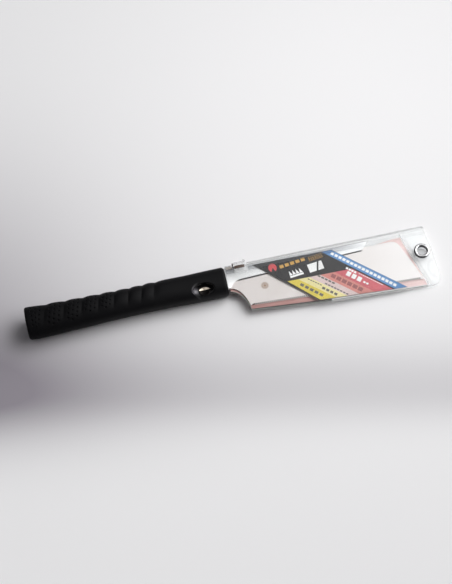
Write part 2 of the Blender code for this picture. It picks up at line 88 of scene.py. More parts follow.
def make(name, shape, materials, body=None, replaces=(), smooth=True, sharp=35.0):
    """A piece from (points, faces) about the datum, riding on a CAD body if one is given."""
    verts, faces = shape
    points = np.asarray(verts, float).reshape(-1, 3) + DATUM
    mesh = bpy.data.meshes.new(name)
    mesh.from_pydata((points * MM).tolist(), [], [list(face) for face in faces])
    bm = bmesh.new()
    bm.from_mesh(mesh)
    bmesh.ops.recalc_face_normals(bm, faces=bm.faces)
    bm.to_mesh(mesh)
    bm.free()
    for material in materials if isinstance(materials, list) else [materials]:
        mesh.materials.append(material)
    if smooth:
        shade_smooth(mesh, sharp)
    obj = bpy.data.objects.new(name, mesh)
    bpy.context.scene.collection.objects.link(obj)
    if body:
        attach(obj, body)
        if replaces:
            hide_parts(*replaces)
    return obj


def evaluated(obj):
    bpy.context.view_layer.update()
    graph = bpy.context.evaluated_depsgraph_get()
    return obj.evaluated_get(graph), graph


def bake(obj, sharp):
    """Applies the object's modifiers to its mesh."""
    result, graph = evaluated(obj)
    mesh = bpy.data.meshes.new_from_object(result, preserve_all_data_layers=True,
                                           depsgraph=graph)
    old = obj.data
    obj.modifiers.clear()
    mesh.name = obj.name
    obj.data = mesh
    bpy.data.meshes.remove(old)
    shade_smooth(mesh, sharp)


def boolean(obj, other, operation, sharp):
    """Combines with another closed mesh, which is then removed."""
    # the exact solver takes over where the fast one fails or changes nothing
    for solver in ("MANIFOLD", "EXACT"):
        modifier = obj.modifiers.new("bool", "BOOLEAN")
        modifier.operation = operation
        modifier.object = other
        modifier.solver = solver
        count = len(evaluated(obj)[0].data.polygons)
        if count > 3 and (count != len(obj.data.polygons) or solver == "EXACT"):
            break
        obj.modifiers.remove(modifier)
    bake(obj, sharp)
    bpy.data.objects.remove(other)


def cut(obj, name, shape, sharp=35.0, operation="DIFFERENCE"):
    """Cuts a piece with a passing shape of the same material."""
    boolean(obj, make(name, shape, obj.data.materials[0]), operation, sharp)


def bevel(obj, width, sharp):
    modifier = obj.modifiers.new("bevel", "BEVEL")
    modifier.width = width * MM
    modifier.segments = 2
    modifier.limit_method = "ANGLE"
    modifier.angle_limit = math.radians(40)
    modifier.harden_normals = False
    bake(obj, sharp)


# Shapes are (points, faces).
def prism_faces(n):
    faces = [list(range(n))[::-1], list(range(n, 2 * n))]
    return faces + [[i, (i + 1) % n, n + (i + 1) % n, n + i] for i in range(n)]


def prism(outline, z0, z1):
    return [(x, y, z) for z in (z0, z1) for x, y in outline], prism_faces(len(outline))


def loft(rings, caps=True):
    n, m = len(rings[0]), len(rings)
    verts = [point for ring in rings for point in ring]
    faces = [[r * n + i, r * n + (i + 1) % n, (r + 1) * n + (i + 1) % n, (r + 1) * n + i]
             for r in range(m - 1) for i in range(n)]
    if caps:
        faces += [list(range(n))[::-1], list(range((m - 1) * n, m * n))]
    return verts, faces


def circle(centre, radius, z, count):
    turns = [2 * math.pi * i / count for i in range(count)]
    return [(centre[0] + radius * math.cos(t), centre[1] + radius * math.sin(t), z)
            for t in turns]


def cylinder(centre, radius, z0, z1):
    return loft([circle(centre, radius, z, 96) for z in (z0, z1)])


def turned(centre, profile, count, closed):
    """A lathe shape about +Z from (radius, z).  A closed profile goes round a tube's section."""
    verts, faces = loft([circle(centre, radius, z, count) for radius, z in profile], not closed)
    if closed:
        last = (len(profile) - 1) * count
        faces += [[last + i, last + (i + 1) % count, (i + 1) % count, i] for i in range(count)]
    return verts, faces


def bezier(start, pull, end, count):
    points = []
    for i in range(count + 1):
        t = i / count
        points.append(tuple((1 - t) ** 2 * a + 2 * t * (1 - t) * b + t * t * c
                            for a, b, c in zip(start, pull, end)))
    return points


def arc(cx, cy, radius, start, end, count):
    turns = [math.radians(start + (end - start) * i / count) for i in range(count + 1)]
    return [(cx + radius * math.cos(t), cy + radius * math.sin(t)) for t in turns]


def join(shapes):
    """Several shapes as separate closed bodies of one piece."""
    verts, faces = [], []
    for more_verts, more_faces in shapes:
        base = len(verts)
        verts += list(more_verts)
        faces += [[i + base for i in face] for face in more_faces]
    return verts, faces


def resample(points, shares):
    """Points at the given shares of a polyline's length."""
    points = np.asarray(points, float)
    steps = np.linalg.norm(np.diff(points, axis=0), axis=1)
    length = np.concatenate([[0], np.cumsum(steps)])
    at = np.asarray(shares) * length[-1]
    return np.stack([np.interp(at, length, column) for column in points.T], 1)


def tangents(path):
    ways = np.gradient(path, axis=0)
    return ways / np.linalg.norm(ways, axis=1, keepdims=True)


# -------------------------------------------------------------------------- node helpers
class Value:
    """A shader output that takes arithmetic; each operation adds a Math node."""

    def __init__(self, nodes, socket):
        self.nodes = nodes
        self.socket = socket

    def __add__(self, other):
        return self.nodes.math("ADD", self, other)

    def __radd__(self, other):
        return self.nodes.math("ADD", other, self)

    def __sub__(self, other):
        return self.nodes.math("SUBTRACT", self, other)

    def __rsub__(self, other):
        return self.nodes.math("SUBTRACT", other, self)

    def __mul__(self, other):
        return self.nodes.math("MULTIPLY", self, other)

    def __truediv__(self, other):
        return self.nodes.math("DIVIDE", self, other)

    def __pow__(self, other):
        return self.nodes.math("POWER", self, other)

    def __abs__(self):
        return self.nodes.math("ABSOLUTE", self)


class Nodes:
    """Adds nodes to one shader tree."""

    def __init__(self, tree):
        self.tree = tree
        self.coords = self.add("TexCoord")

    def put(self, socket, value):
        value = getattr(value, "socket", value)
        if hasattr(value, "links"):
            self.tree.links.new(value, socket)
        elif isinstance(value, tuple) and socket.type == "RGBA" and len(value) == 3:
            socket.default_value = (*value, 1.0)
        else:
            socket.default_value = value

    def add(self, kind, inputs=None, **props):
        node = self.tree.nodes.new("ShaderNode" + kind)
        for key, value in props.items():
            setattr(node, key, value)
        for key, value in (inputs or {}).items():
            self.put(node.inputs[key], value)
        return node

    def node(self, kind, inputs=None, output=0, **props):
        return Value(self, self.add(kind, inputs, **props).outputs[output])

    def math(self, operation, a, b=0.0, c=0.0):
        return self.node("Math", {0: a, 1: b, 2: c}, operation=operation)

    def ramp(self, value, stops):
        """A colour ramp through (place, grey or colour)."""
        node = self.add("ValToRGB", {0: value})
        elements = node.color_ramp.elements
        while len(elements) < len(stops):
            elements.new(0.5)
        for element, (place, level) in zip(elements, stops):
            element.position = place
            element.color = (*(level if isinstance(level, tuple) else (level,) * 3), 1.0)
        return Value(self, node.outputs[0])

    def span(self, value, over, to=(0.0, 1.0), kind="LINEAR"):
        """Maps one range onto another, held at the ends."""
        return self.node("MapRange", {
            "Value": value, "From Min": over[0], "From Max": over[1],
            "To Min": to[0], "To Max": to[1]}, clamp=True, interpolation_type=kind)

    def blend(self, amount, first, second):
        return self.node("MixShader", {0: amount, 1: first, 2: second})


class Material(Nodes):
    """One procedural material.  Object coordinates are the frame's metres."""

    def __init__(self, name):
        self.material = bpy.data.materials.new(name)
        self.material.use_nodes = True
        self.material.node_tree.nodes.clear()
        super().__init__(self.material.node_tree)
        self.output = self.add("OutputMaterial")
        self.place = self.coords.outputs["Object"]

    def noise(self, scale, detail=3.0, rough=0.5, stretch=None, turn=0.0):
        """Noise; stretch scales the axes first and turn rotates them about Z."""
        at = self.place
        if stretch is not None:
            at = self.node("Mapping", {"Vector": at, "Scale": stretch,
                                       "Rotation": (0, 0, turn)})
        return self.node("TexNoise", {"Vector": at, "Scale": scale, "Detail": detail,
                                      "Roughness": rough})

    def cells(self, scale, randomness=1.0, output="Distance"):
        return self.node("TexVoronoi", {"Vector": self.place, "Scale": scale,
                                        "Randomness": randomness}, output)

    def line(self, value, slope, offset):
        return self.math("MULTIPLY_ADD", value, slope, offset)

    def fade(self, value, start, end):
        """A ramp from black at start to white at end."""
        return self.ramp(value, [(start, 0.0), (end, 1.0)])

    def spread(self, noise, low, high):
        """Maps the usual range of a noise onto low..high."""
        return self.span(noise, over=(0.3, 0.7), to=(low, high))

    def mix(self, amount, first, second, blend="MIX"):
        return self.node("Mix", {0: amount, 6: first, 7: second}, 2, data_type="RGBA",
                         blend_type=blend, clamp_factor=True)

    def bump(self, height, strength, distance, over=None):
        """A bumped normal, laid over another one if it is given."""
        inputs = {"Height": height, "Strength": strength, "Distance": distance}
        if over is not None:
            inputs["Normal"] = over
        return self.node("Bump", inputs)

    def axis(self, letter):
        return self.node("SeparateXYZ", {0: self.place}, "xyz".index(letter))

    def datum(self, letter):
        """A coordinate in millimetres from the datum."""
        return self.axis(letter) * 1000.0 - DATUM["xyz".index(letter)]

    def radius(self, x, y):
        """Distance in metres from the line through a datum point, along Z."""
        across = self.axis("x") - (x + DATUM[0]) * MM
        up = self.axis("y") - (y + DATUM[1]) * MM
        return self.math("SQRT", across * across + up * up)

    def principled(self, **inputs):
        return self.node("BsdfPrincipled", {k.replace("_", " "): v for k, v in inputs.items()})

    def done(self, shader):
        self.put(self.output.inputs["Surface"], shader)
        return self.material

    def surface(self, **inputs):
        return self.done(self.principled(**inputs))


# ------------------------------------------------------------------------------ materials
def grip_material():
    mat = Material("grip_elastomer")
    cloud = mat.noise(scale=90.0, detail=4.0, rough=0.6)
    grain = mat.noise(scale=3200.0, rough=0.6)
    pores = mat.cells(scale=2100.0)
    dust = mat.fade(mat.noise(scale=900.0, detail=6.0, rough=0.75), start=0.60, end=0.80)
    base = mat.mix(cloud, (0.0027, 0.0027, 0.0033), (0.0047, 0.0046, 0.0053))
    base = mat.mix(dust * 0.22, base, (0.020, 0.019, 0.020))
    # an oval over the thumb recess; its -X wall is polished, and a lighter grey is painted along
    # its middle as a sheen
    x, y = mat.datum("x"), mat.datum("y")
    across = (x - -25.0) / 12.6
    up = (y - -8.0) / 8.6
    inside = mat.span(across * across + up * up, over=(0.98, 0.80))
    wall = inside * mat.span(x, over=(-29.0, -33.5))
    wear_and_sheen = wall * mat.span(abs(y + 7.3), over=(4.2, 1.8))
    base = mat.mix(wear_and_sheen, base, (0.105, 0.100, 0.115))
    rough = mat.spread(grain * 0.5 + cloud * 0.5, low=0.48, high=0.62) - wall * 0.14
    # painted shade: less specular towards the butt, so the butt reads darker
    level = mat.span(x, over=(-200.0, -40.0), to=(0.06, 0.145)) + wall * 0.55
    normal = mat.bump(grain * 0.6 + pores * 0.5, strength=0.35, distance=0.00009)
    normal = mat.bump(mat.noise(scale=260.0, detail=2.0), strength=0.10, distance=0.0004,
                      over=normal)
    return mat.surface(Base_Color=base, Roughness=rough, Normal=normal,
                       Specular_IOR_Level=level, Coat_Weight=wall * 0.6, Coat_Roughness=0.32)


def core_material():
    mat = Material("core_nylon")
    cloud = mat.noise(scale=160.0)
    glass = mat.noise(scale=2600.0, detail=2.0, rough=0.6, stretch=(0.25, 1, 1))
    return mat.surface(
        Base_Color=mat.mix(cloud, (0.030, 0.030, 0.033), (0.050, 0.049, 0.052)),
        Roughness=mat.spread(glass, low=0.42, high=0.60),
        Normal=mat.bump(glass, strength=0.25, distance=0.00006))


def blade_material():
    mat = Material("blade_spring_steel")
    brushed = mat.noise(scale=2600.0, rough=0.6, stretch=(0.9, 0.035, 1))
    stain = mat.noise(scale=42.0, detail=5.0, rough=0.62)
    speck = mat.fade(mat.noise(scale=1400.0, rough=0.6), start=0.60, end=0.68)
    tint = mat.mix(mat.fade(stain, start=0.35, end=0.70),
                   (0.820, 0.764, 0.744), (0.745, 0.684, 0.658))
    tint = mat.mix(brushed * 0.35, tint, (0.900, 0.872, 0.862))
    # painted light: the blade turns paler towards the tip, where more light falls
    pale = mat.span(mat.datum("x"), over=(90.0, 180.0), to=(0.0, 0.70))
    tint = mat.mix(pale, tint, (0.915, 0.900, 0.898))
    specks = speck * mat.span(mat.datum("x"), over=(60.0, 150.0), to=(0.34, 0.08))
    tint = mat.mix(specks, tint, (0.40, 0.30, 0.25))
    # brown rings round a point of the plate, out to 4.5 mm
    ring = mat.ramp(mat.radius(37.6, -13.3) / 0.0045, [
        (0.0, 1.0), (0.20, 0.80), (0.38, 0.38), (0.56, 0.66), (0.76, 0.42), (1.0, 0.0)])
    tint = mat.mix(ring, tint, (0.330, 0.185, 0.095))
    # painted shadow: a dark line on the blade along the spine's lower edge
    x, y = mat.datum("x"), mat.datum("y")
    below = mat.line(x, slope=0.03295, offset=-1.378) - y
    width = mat.span(x, over=(20.0, 130.0), to=(1.95, 1.30))
    dark = mat.span(below, over=(width, 0.90)) * (
        mat.span(x, over=(9.0, 13.0)) * mat.span(x, over=(146.0, 143.0)))
    tint = mat.mix(dark * 0.97, tint, (0.012, 0.011, 0.011))
    normal = mat.bump(brushed, strength=0.12, distance=0.00003)
    normal = mat.bump(ring, strength=0.3, distance=0.00008, over=normal)
    return mat.surface(Base_Color=tint, Metallic=0.55, Normal=normal,
                       Roughness=mat.spread(brushed, low=0.34, high=0.48))


def spine_material():
    mat = Material("spine_satin_steel")
    brushed = mat.noise(scale=2400.0, rough=0.6, stretch=(0.03, 1.0, 1))
    tint = mat.mix(mat.noise(scale=35.0), (0.84, 0.843, 0.845), (0.90, 0.903, 0.905))
    tint = mat.mix(brushed * 0.25, tint, (0.78, 0.785, 0.79))
    # painted shade: the spine turns greyer towards its tip end
    grey = mat.span(mat.datum("x"), over=(30.0, 120.0), to=(0.0, 0.55))
    tint = mat.mix(grey, tint, (0.60, 0.605, 0.615))
    # painted shade: the top edge is darker
    depth = mat.line(mat.datum("x"), slope=-0.01044, offset=SPINE_TOP) - mat.datum("y")
    tint = mat.mix(mat.span(depth, over=(1.05, 0.70), to=(0.0, 0.80)), tint,
                   (0.10, 0.10, 0.105))
    return mat.surface(Base_Color=tint, Metallic=0.70,
                       Roughness=mat.spread(brushed, low=0.40, high=0.54),
                       Normal=mat.bump(brushed, strength=0.14, distance=0.00003))


def zinc_material():
    mat = Material("zinc_plated_steel")
    spangle = mat.cells(scale=330.0, output="Color")
    cloud = mat.noise(scale=500.0, detail=4.0, rough=0.6)
    plain = mat.mix(cloud, (0.50, 0.51, 0.53), (0.64, 0.65, 0.66))
    spangle_amount = 0.18
    return mat.surface(
        Base_Color=mat.mix(spangle_amount, plain, spangle, blend="SOFT_LIGHT"), Metallic=1.0,
        Roughness=mat.spread(cloud, low=0.28, high=0.46),
        Normal=mat.bump(cloud, strength=0.1, distance=0.00004))


def nickel_material():
    mat = Material("nickel_plated_screw")
    radius = mat.radius(*SCREW)
    ring_pitch = 0.00032
    turning = mat.math("SINE", radius * (2 * math.pi / ring_pitch))
    wear_and_sheen = mat.noise(scale=700.0, detail=4.0, rough=0.6)
    tint = mat.mix(wear_and_sheen, (0.70, 0.60, 0.49), (0.84, 0.75, 0.64))
    rim = mat.fade(radius / 0.0062, start=0.80, end=0.97)
    tint = mat.mix(rim * 0.35, tint, (0.93, 0.90, 0.84))
    # painted highlight and shade: a bright crescent on the +Y and on the -Y side of the slot;
    # the rest is painted black as shade
    across, up = mat.datum("x") + -SCREW[0], mat.datum("y") + -SCREW[1]
    square = across * across
    off = abs(up - mat.line(square, slope=-0.050, offset=2.30))
    half_width = mat.line(square, slope=-0.026, offset=1.40)
    painted_highlight = mat.span(half_width - off, over=(-0.20, 0.35))
    painted_highlight = painted_highlight * mat.span(mat.datum("z"), over=(4.55, 4.8))
    tint = mat.mix(painted_highlight, (0.020, 0.018, 0.018), tint)
    normal = mat.bump(turning, strength=0.06, distance=0.000008)
    normal = mat.bump(wear_and_sheen, strength=0.05, distance=0.00001, over=normal)
    return mat.surface(Base_Color=tint, Metallic=1.0, Normal=normal,
                       Roughness=mat.spread(wear_and_sheen, low=0.22, high=0.38))


def chrome_material():
    mat = Material("eyelet_chrome")
    scratch = mat.noise(scale=1500.0, detail=4.0, rough=0.65, stretch=(0.15, 1, 1), turn=0.6)
    cloud = mat.noise(scale=260.0)
    tint = mat.mix(cloud, (0.74, 0.745, 0.76), (0.88, 0.885, 0.89))
    # painted shade: the outer and inner walls of the ring are dark
    radius = mat.radius(*EYELET)
    wall = mat.math("MAXIMUM", mat.span(radius, over=(0.00762, 0.00792)),
                    mat.span(radius, over=(0.00535, 0.00505)))
    return mat.surface(
        Base_Color=mat.mix(wall, tint, (0.045, 0.043, 0.048)), Metallic=1.0,
        Roughness=mat.span(scratch, over=(0.35, 0.7), to=(0.06, 0.20)),
        Normal=mat.bump(scratch, strength=0.08, distance=0.00003))


def bronze_material():
    mat = Material("bronze_leaf")
    brushed = mat.noise(scale=1900.0, rough=0.6, stretch=(0.05, 1, 1))
    cloud = mat.noise(scale=400.0, detail=4.0, rough=0.65)
    tint = mat.mix(cloud, (0.070, 0.048, 0.040), (0.130, 0.090, 0.072))
    tail = mat.span(mat.datum("x"), over=(9.6, 9.2)) * mat.span(mat.datum("z"), over=(4.2, 3.4))
    ear = (mat.span(mat.datum("x"), over=(10.9, 10.7))
           * mat.span(mat.datum("z"), over=(3.8, 4.4)))
    tint = mat.mix(ear, tint, (0.050, 0.036, 0.032))
    tint = mat.mix(tail, tint, mat.mix(cloud, (0.380, 0.320, 0.280), (0.520, 0.460, 0.410)))
    return mat.surface(Base_Color=tint, Metallic=0.25,
                       Roughness=mat.spread(brushed, low=0.30, high=0.48),
                       Normal=mat.bump(brushed, strength=0.12, distance=0.00003))


def pressed_lines(mat):
    """Fine ribs along the sheath's lower edge, and the streaks of the end weld."""
    x, y = mat.datum("x"), mat.datum("y")
    low = mat.math("MAXIMUM", mat.line(x, slope=-0.1046, offset=-35.758),
                   mat.line(x, slope=-0.0589, offset=-39.752))
    ribs = mat.ramp(mat.span(y - low, over=(-0.2, 6.0)), [
        (0.0, 0.75), (0.06, 0.55), (0.10, 0.0), (0.17, 0.0), (0.20, 0.55), (0.24, 0.0),
        (0.34, 0.0), (0.37, 0.42), (0.41, 0.0), (0.51, 0.0), (0.54, 0.42), (0.58, 0.0),
        (0.70, 0.0), (0.74, 0.30), (0.78, 0.0), (1.0, 0.0)])
    ribs = ribs * mat.span(x, over=(214.0, 150.0), to=(0.35, 1.0))
    patches = mat.noise(scale=140.0, rough=0.6, stretch=(0.2, 1, 1))
    ribs = ribs * mat.span(patches, over=(0.30, 0.60), to=(0.35, 1.0))
    from_weld = x - mat.line(y, slope=-0.229, offset=190.9)
    streak = mat.noise(scale=900.0, rough=0.6, stretch=(1.0, 0.12, 1), turn=0.23)
    streak = mat.span(streak, over=(0.35, 0.65), to=(0.45, 1.0))
    weld = mat.ramp(mat.span(from_weld, over=(-2.6, 4.2)), [
        (0.0, 0.0), (0.30, 0.10), (0.42, 0.14), (0.62, 0.06), (1.0, 0.0)])
    weld = weld * streak * mat.span(y, over=(6.5, 3.0))
    return mat.math("MAXIMUM", ribs, weld)


def clear_material(name, edge=0.0, veil=0.012, milk=(0.90, 0.90, 0.905), rough=0.05, wave=60.0,
                   grey=0.80, power=2.4, lines=False, lip=False):
    """Thin clear plastic: it mirrors at a glancing angle and shades towards its outline.

    edge: strength of the cut edge's grey.  veil, milk: amount and colour of the haze.
    rough: of the mirror.  wave: scale of the ripple.  grey, power: level and falloff of the
    outline's shade.  lines: adds the pressed lines.  lip: adds a band of painted shade along the
    channel's lip.
    """
    mat = Material(name)
    ripple = mat.noise(scale=wave)
    fine = mat.noise(scale=1300.0, detail=4.0, rough=0.65)
    scuff = mat.fade(mat.noise(scale=420.0, detail=5.0, rough=0.7, stretch=(0.3, 1, 1),
                               turn=0.5), start=0.56, end=0.74)
    normal = mat.bump(ripple, strength=0.22, distance=0.0012)
    normal = mat.bump(fine, strength=0.05, distance=0.00004, over=normal)
    facing = mat.node("LayerWeight", {"Blend": 0.42, "Normal": normal}, "Facing")
    shade = facing ** power
    through = mat.mix(shade, (0.994, 0.996, 0.996), (grey * 0.62, grey * 0.64, grey * 0.64))
    if lines:
        through = mat.mix(pressed_lines(mat), through, (0.36, 0.37, 0.38))
    if lip:
        # painted shade: a darker band along the channel, for the dark lines on its rounded
        # flanks
        band = mat.ramp(mat.span(mat.datum("y"), over=(6.0, 12.0)), [
            (0.0, 0.40), (0.15, 0.22), (0.45, 0.34), (0.72, 0.62), (0.84, 0.10), (1.0, 0.0)])
        band = band * mat.span(mat.datum("x"), over=(150.0, 120.0))
        patches = mat.noise(scale=60.0, rough=0.6, stretch=(0.25, 1, 1))
        band = band * mat.span(patches, over=(0.3, 0.65), to=(0.5, 1.0))
        through = mat.mix(band, through, (0.42, 0.43, 0.47))
    # a cut edge's normal lies in the plane of the sheet
    upright = abs(mat.node("SeparateXYZ", {0: mat.coords.outputs["Normal"]}, 2))
    cut_edge = mat.span(upright, over=(0.50, 0.12)) * edge
    clear = mat.node("BsdfTransparent", {0: through})
    haze = mat.principled(Base_Color=milk, Roughness=0.45)
    body = mat.blend(veil + scuff * 0.02, clear, haze)
    rim = mat.principled(Base_Color=(0.34, 0.37, 0.36), Roughness=0.25)
    body = mat.blend(cut_edge, body, rim)
    gloss_rough = mat.span(fine, over=(0.3, 0.8), to=(rough, rough + 0.08))
    gloss = mat.node("BsdfGlossy", {"Color": (1, 1, 1), "Roughness": gloss_rough,
                                    "Normal": normal})
    mirror = mat.node("Fresnel", {"IOR": 1.42, "Normal": normal})
    # no second mirror inside the sheet: light leaving it from the back passes
    mirror = mirror * (1.0 - mat.node("NewGeometry", output="Backfacing"))
    seen = mat.blend(mirror, body, gloss)
    # what it casts is a faint, even shade
    faint = mat.mix(shade * 0.4, (0.985, 0.988, 0.988), (0.7, 0.71, 0.71))
    cast = mat.node("BsdfTransparent", {0: faint})
    return mat.done(mat.blend(mat.node("LightPath", output="Is Shadow Ray"), seen, cast))


def print_material(name, colour, second=None, gloss=0.35, speck=0.10):
    """Printed card: ink over paper fibre, with a faint dot screen."""
    mat = Material(name)
    second = second or tuple(min(1.0, c * 1.18 + 0.012) for c in colour)
    fibre = mat.noise(scale=1700.0, detail=5.0, rough=0.7, stretch=(1, 0.45, 1))
    cloud = mat.noise(scale=55.0)
    dots = mat.cells(scale=2600.0, randomness=0.15)
    tint = mat.mix(mat.fade(cloud, start=0.3, end=0.7), colour, second)
    tint = mat.mix(mat.fade(dots, start=0.30, end=0.60) * speck, tint, (0.9, 0.9, 0.9))
    tint = mat.mix(mat.fade(fibre, start=0.55, end=0.75) * (speck * 0.8), tint,
                   tuple(c * 0.55 for c in colour))
    return mat.surface(Base_Color=tint, Specular_IOR_Level=0.25,
                       Roughness=mat.spread(fibre, low=gloss, high=gloss + 0.16),
                       Normal=mat.bump(fibre, strength=0.12, distance=0.00004))


def pink_material():
    mat = Material("pink_backing_card")
    x, y = mat.datum("x"), mat.datum("y")
    fibre = mat.noise(scale=1500.0, detail=6.0, rough=0.72, stretch=(1, 0.3, 1))
    cloud = mat.noise(scale=38.0, detail=4.0, rough=0.6)
    tint = mat.mix(cloud, (0.640, 0.345, 0.318), (0.520, 0.262, 0.240))
    # painted light: paler towards the tip, where more light falls
    tint = mat.mix(mat.span(x, over=(90.0, 188.0), to=(0.0, 0.85)), tint,
                   (0.820, 0.655, 0.640))
    tint = mat.mix(mat.fade(fibre, start=0.5, end=0.8) * 0.35, tint, (0.80, 0.62, 0.60))
    # painted shadow of the teeth: a dark line on the card along the tooth line
    above = y - mat.line(x, slope=TOOTH_SLOPE, offset=-30.855)
    tooth_shadow = mat.span(above, over=(0.70, 1.10)) * mat.span(above, over=(3.9, 3.1))
    tooth_shadow = tooth_shadow * (mat.span(x, over=(17.0, 20.0)) * mat.span(x, over=(199.0, 195.0)))
    tint = mat.mix(tooth_shadow * 0.94, tint, (0.022, 0.015, 0.014))
    return mat.surface(Base_Color=tint, Roughness=mat.spread(fibre, low=0.62, high=0.80),
                       Normal=mat.bump(fibre, strength=0.25, distance=0.00008))


GRIP = grip_material()
CORE = core_material()
BLADE = blade_material()
SPINE = spine_material()
ZINC = zinc_material()
NICKEL = nickel_material()
CHROME = chrome_material()
BRONZE = bronze_material()
CLEAR = clear_material("clear_pvc", lines=True, edge=0.24, veil=0.005)
CLEAR_BACK = clear_material("clear_pvc_back", edge=0.15)
CLEAR_RAIL = clear_material("clear_pvc_rail", veil=0.04, edge=0.12, wave=25.0, grey=0.78,
                            power=2.5, lip=True)
CLEAR_CLIP = clear_material("clear_clip", veil=0.22, edge=0.10, wave=90.0, grey=0.85)
WELD = clear_material("clear_pvc_weld", veil=0.34, wave=240.0, grey=1.35, rough=0.14)
EDGE_WELD = clear_material("clear_pvc_edge", veil=0.62, wave=240.0, grey=0.9, rough=0.14)
PINK = pink_material()
LIP = clear_material("clear_pvc_lip", veil=0.66, milk=(0.33, 0.37, 0.34), rough=0.08,
                     wave=120.0, grey=0.45)

# --------------------------------------------------------------------------- handle shape
# x, half height along Y, half thickness along Z, centre y
STATIONS = (
    (-206.0, 16.0, 13.4, -1.9), (-190.0, 16.1, 13.3, -2.6), (-150.0, 15.0, 12.6, -2.35),
    (-100.0, 13.9, 12.0, -1.45), (-60.0, 14.4, 12.1, -0.7), (-30.0, 15.1, 12.4, -0.6),
    (0.0, 15.3, 12.5, -0.35),
)
BUTT = STATIONS[0][0]
POWER = 2.4                             # of the superellipse section
SLANT = 0.229                           # lean of the sections, dx/dy
SWELL = 1.25                            # height of a finger scallop
BUTT_PITCH = 32.6                       # length of the scallop that the butt cuts short
GROOVES = [-183.2]                      # between the scallops
for k in range(7):
    GROOVES.append(GROOVES[-1] + 19.6 * 0.93**k)

# three dimple columns on each of the five scallops nearest the butt
DIMPLE_COLUMNS = [
    -199.5, -194.6, -189.0, -178.3, -173.6, -168.6, -159.1, -154.6, -150.1,
    -141.4, -136.9, -132.6, -124.8, -120.9, -117.0,
]
DIMPLE_RADIUS, DIMPLE_DEPTH = 1.15, 1.05
ROW_PITCH = 4.49                        # dimple rows, along the surface
FIRST_ROW = 3.1
DENSE_ARC = 34.0                        # the finely divided surface, from the +Y edge


def section_loop():
    """Angles round the section, and each one's surface distance from the +Y edge."""
    angles = np.linspace(0, math.pi, 6001)
    y = 15.2 * signed_power(np.cos(angles), 2 / POWER)
    z = 12.8 * signed_power(np.sin(angles), 2 / POWER)
    length = np.concatenate([[0], np.cumsum(np.hypot(np.diff(y), np.diff(z)))])
    arcs = list(np.arange(0, DENSE_ARC, ROW_PITCH / 14))
    arcs += list(np.linspace(DENSE_ARC, length[-1], 17))
    half = np.interp(arcs, length, angles)
    return np.concatenate([half, -half[-2:0:-1]]), np.concatenate([arcs, arcs[-2:0:-1]])


LOOP_ANGLES, LOOP_ARCS = section_loop()


def handle_at(x):
    """Half height, half thickness and centre y, by cubics through the stations."""
    last = len(STATIONS) - 1
    x = min(max(x, BUTT), STATIONS[-1][0])
    at = next(k for k in range(last) if x <= STATIONS[k + 1][0])
    before, start, end, after = (STATIONS[k] for k in (max(at - 1, 0), at, at + 1,
                                                       min(at + 2, last)))
    gap = end[0] - start[0]
    t = (x - start[0]) / gap
    values = []
    for c in (1, 2, 3):
        rise0 = (end[c] - before[c]) / (end[0] - before[0]) * gap
        rise1 = (after[c] - start[c]) / (after[0] - start[0]) * gap
        values.append((2 * t**3 - 3 * t**2 + 1) * start[c] + (t**3 - 2 * t**2 + t) * rise0
                      + (-2 * t**3 + 3 * t**2) * end[c] + (t**3 - t**2) * rise1)
    return values


def scallop(x):
    """Height of the finger scallops: rounded swells that meet in sharp grooves."""
    if x >= GROOVES[-1]:
        rise = float(smooth_step((x - GROOVES[-1]) / 7.0))
        return SWELL * 0.62 * rise * float(smooth_step((-38.0 - x) / 26.0))
    if x <= GROOVES[0]:
        start, pitch = GROOVES[0] - BUTT_PITCH, BUTT_PITCH
    else:
        k = max(i for i, groove in enumerate(GROOVES) if groove <= x)
        start, pitch = GROOVES[k], GROOVES[k + 1] - GROOVES[k]
    t = (x - start) / pitch
    from_crest = ((0.40 - t) / 0.40) if t < 0.40 else ((t - 0.40) / 0.60)
    return SWELL * (1 - from_crest**2)


def dimple_sink(x):
    """How deep the dimples go, round the section at x."""
    k = int(np.argmin([abs(x - column) for column in DIMPLE_COLUMNS]))
    along = x - DIMPLE_COLUMNS[k]
    if abs(along) >= DIMPLE_RADIUS:
        return 0.0
    # the middle column of three is staggered by half a row
    offset = FIRST_ROW + (ROW_PITCH / 2 if k % 3 == 1 else 0.0)
    rows = np.round((LOOP_ARCS - offset) / ROW_PITCH)
    around = LOOP_ARCS - offset - rows * ROW_PITCH
    last_row = 6 if k < 9 else 5
    away = (along * along + around * around) / DIMPLE_RADIUS**2
    live = (rows >= 0) & (rows <= last_row) & (away < 1)
    return np.where(live, DIMPLE_DEPTH * (1 - away**1.3), 0.0)


def handle_ring(at, inset=0.0, lean=0.0, relief=0.0, dimples=False, angles=LOOP_ANGLES):
    """One section of the handle.  relief is the share of the scallops' height."""
    half_y, half_z, centre = handle_at(at)
    half_y, half_z = half_y - inset, half_z - inset
    u = signed_power(np.cos(angles), 2 / POWER)
    v = signed_power(np.sin(angles), 2 / POWER)
    grow = relief * scallop(at) * smooth_step((u + 0.75) / 0.75)
    y = centre + (half_y + grow) * u
    z = (half_z + grow * (1 - np.maximum(u, 0.0) ** 4)) * v
    x = at + lean * (y - centre - half_y)
    if dimples:
        sink = dimple_sink(at)
        normal_y = signed_power(u, POWER - 1) / half_y
        normal_z = signed_power(v, POWER - 1) / half_z
        length = np.hypot(normal_y, normal_z)
        y, z = y - sink * normal_y / length, z - sink * normal_z / length
    return np.stack([x, y, z], 1)


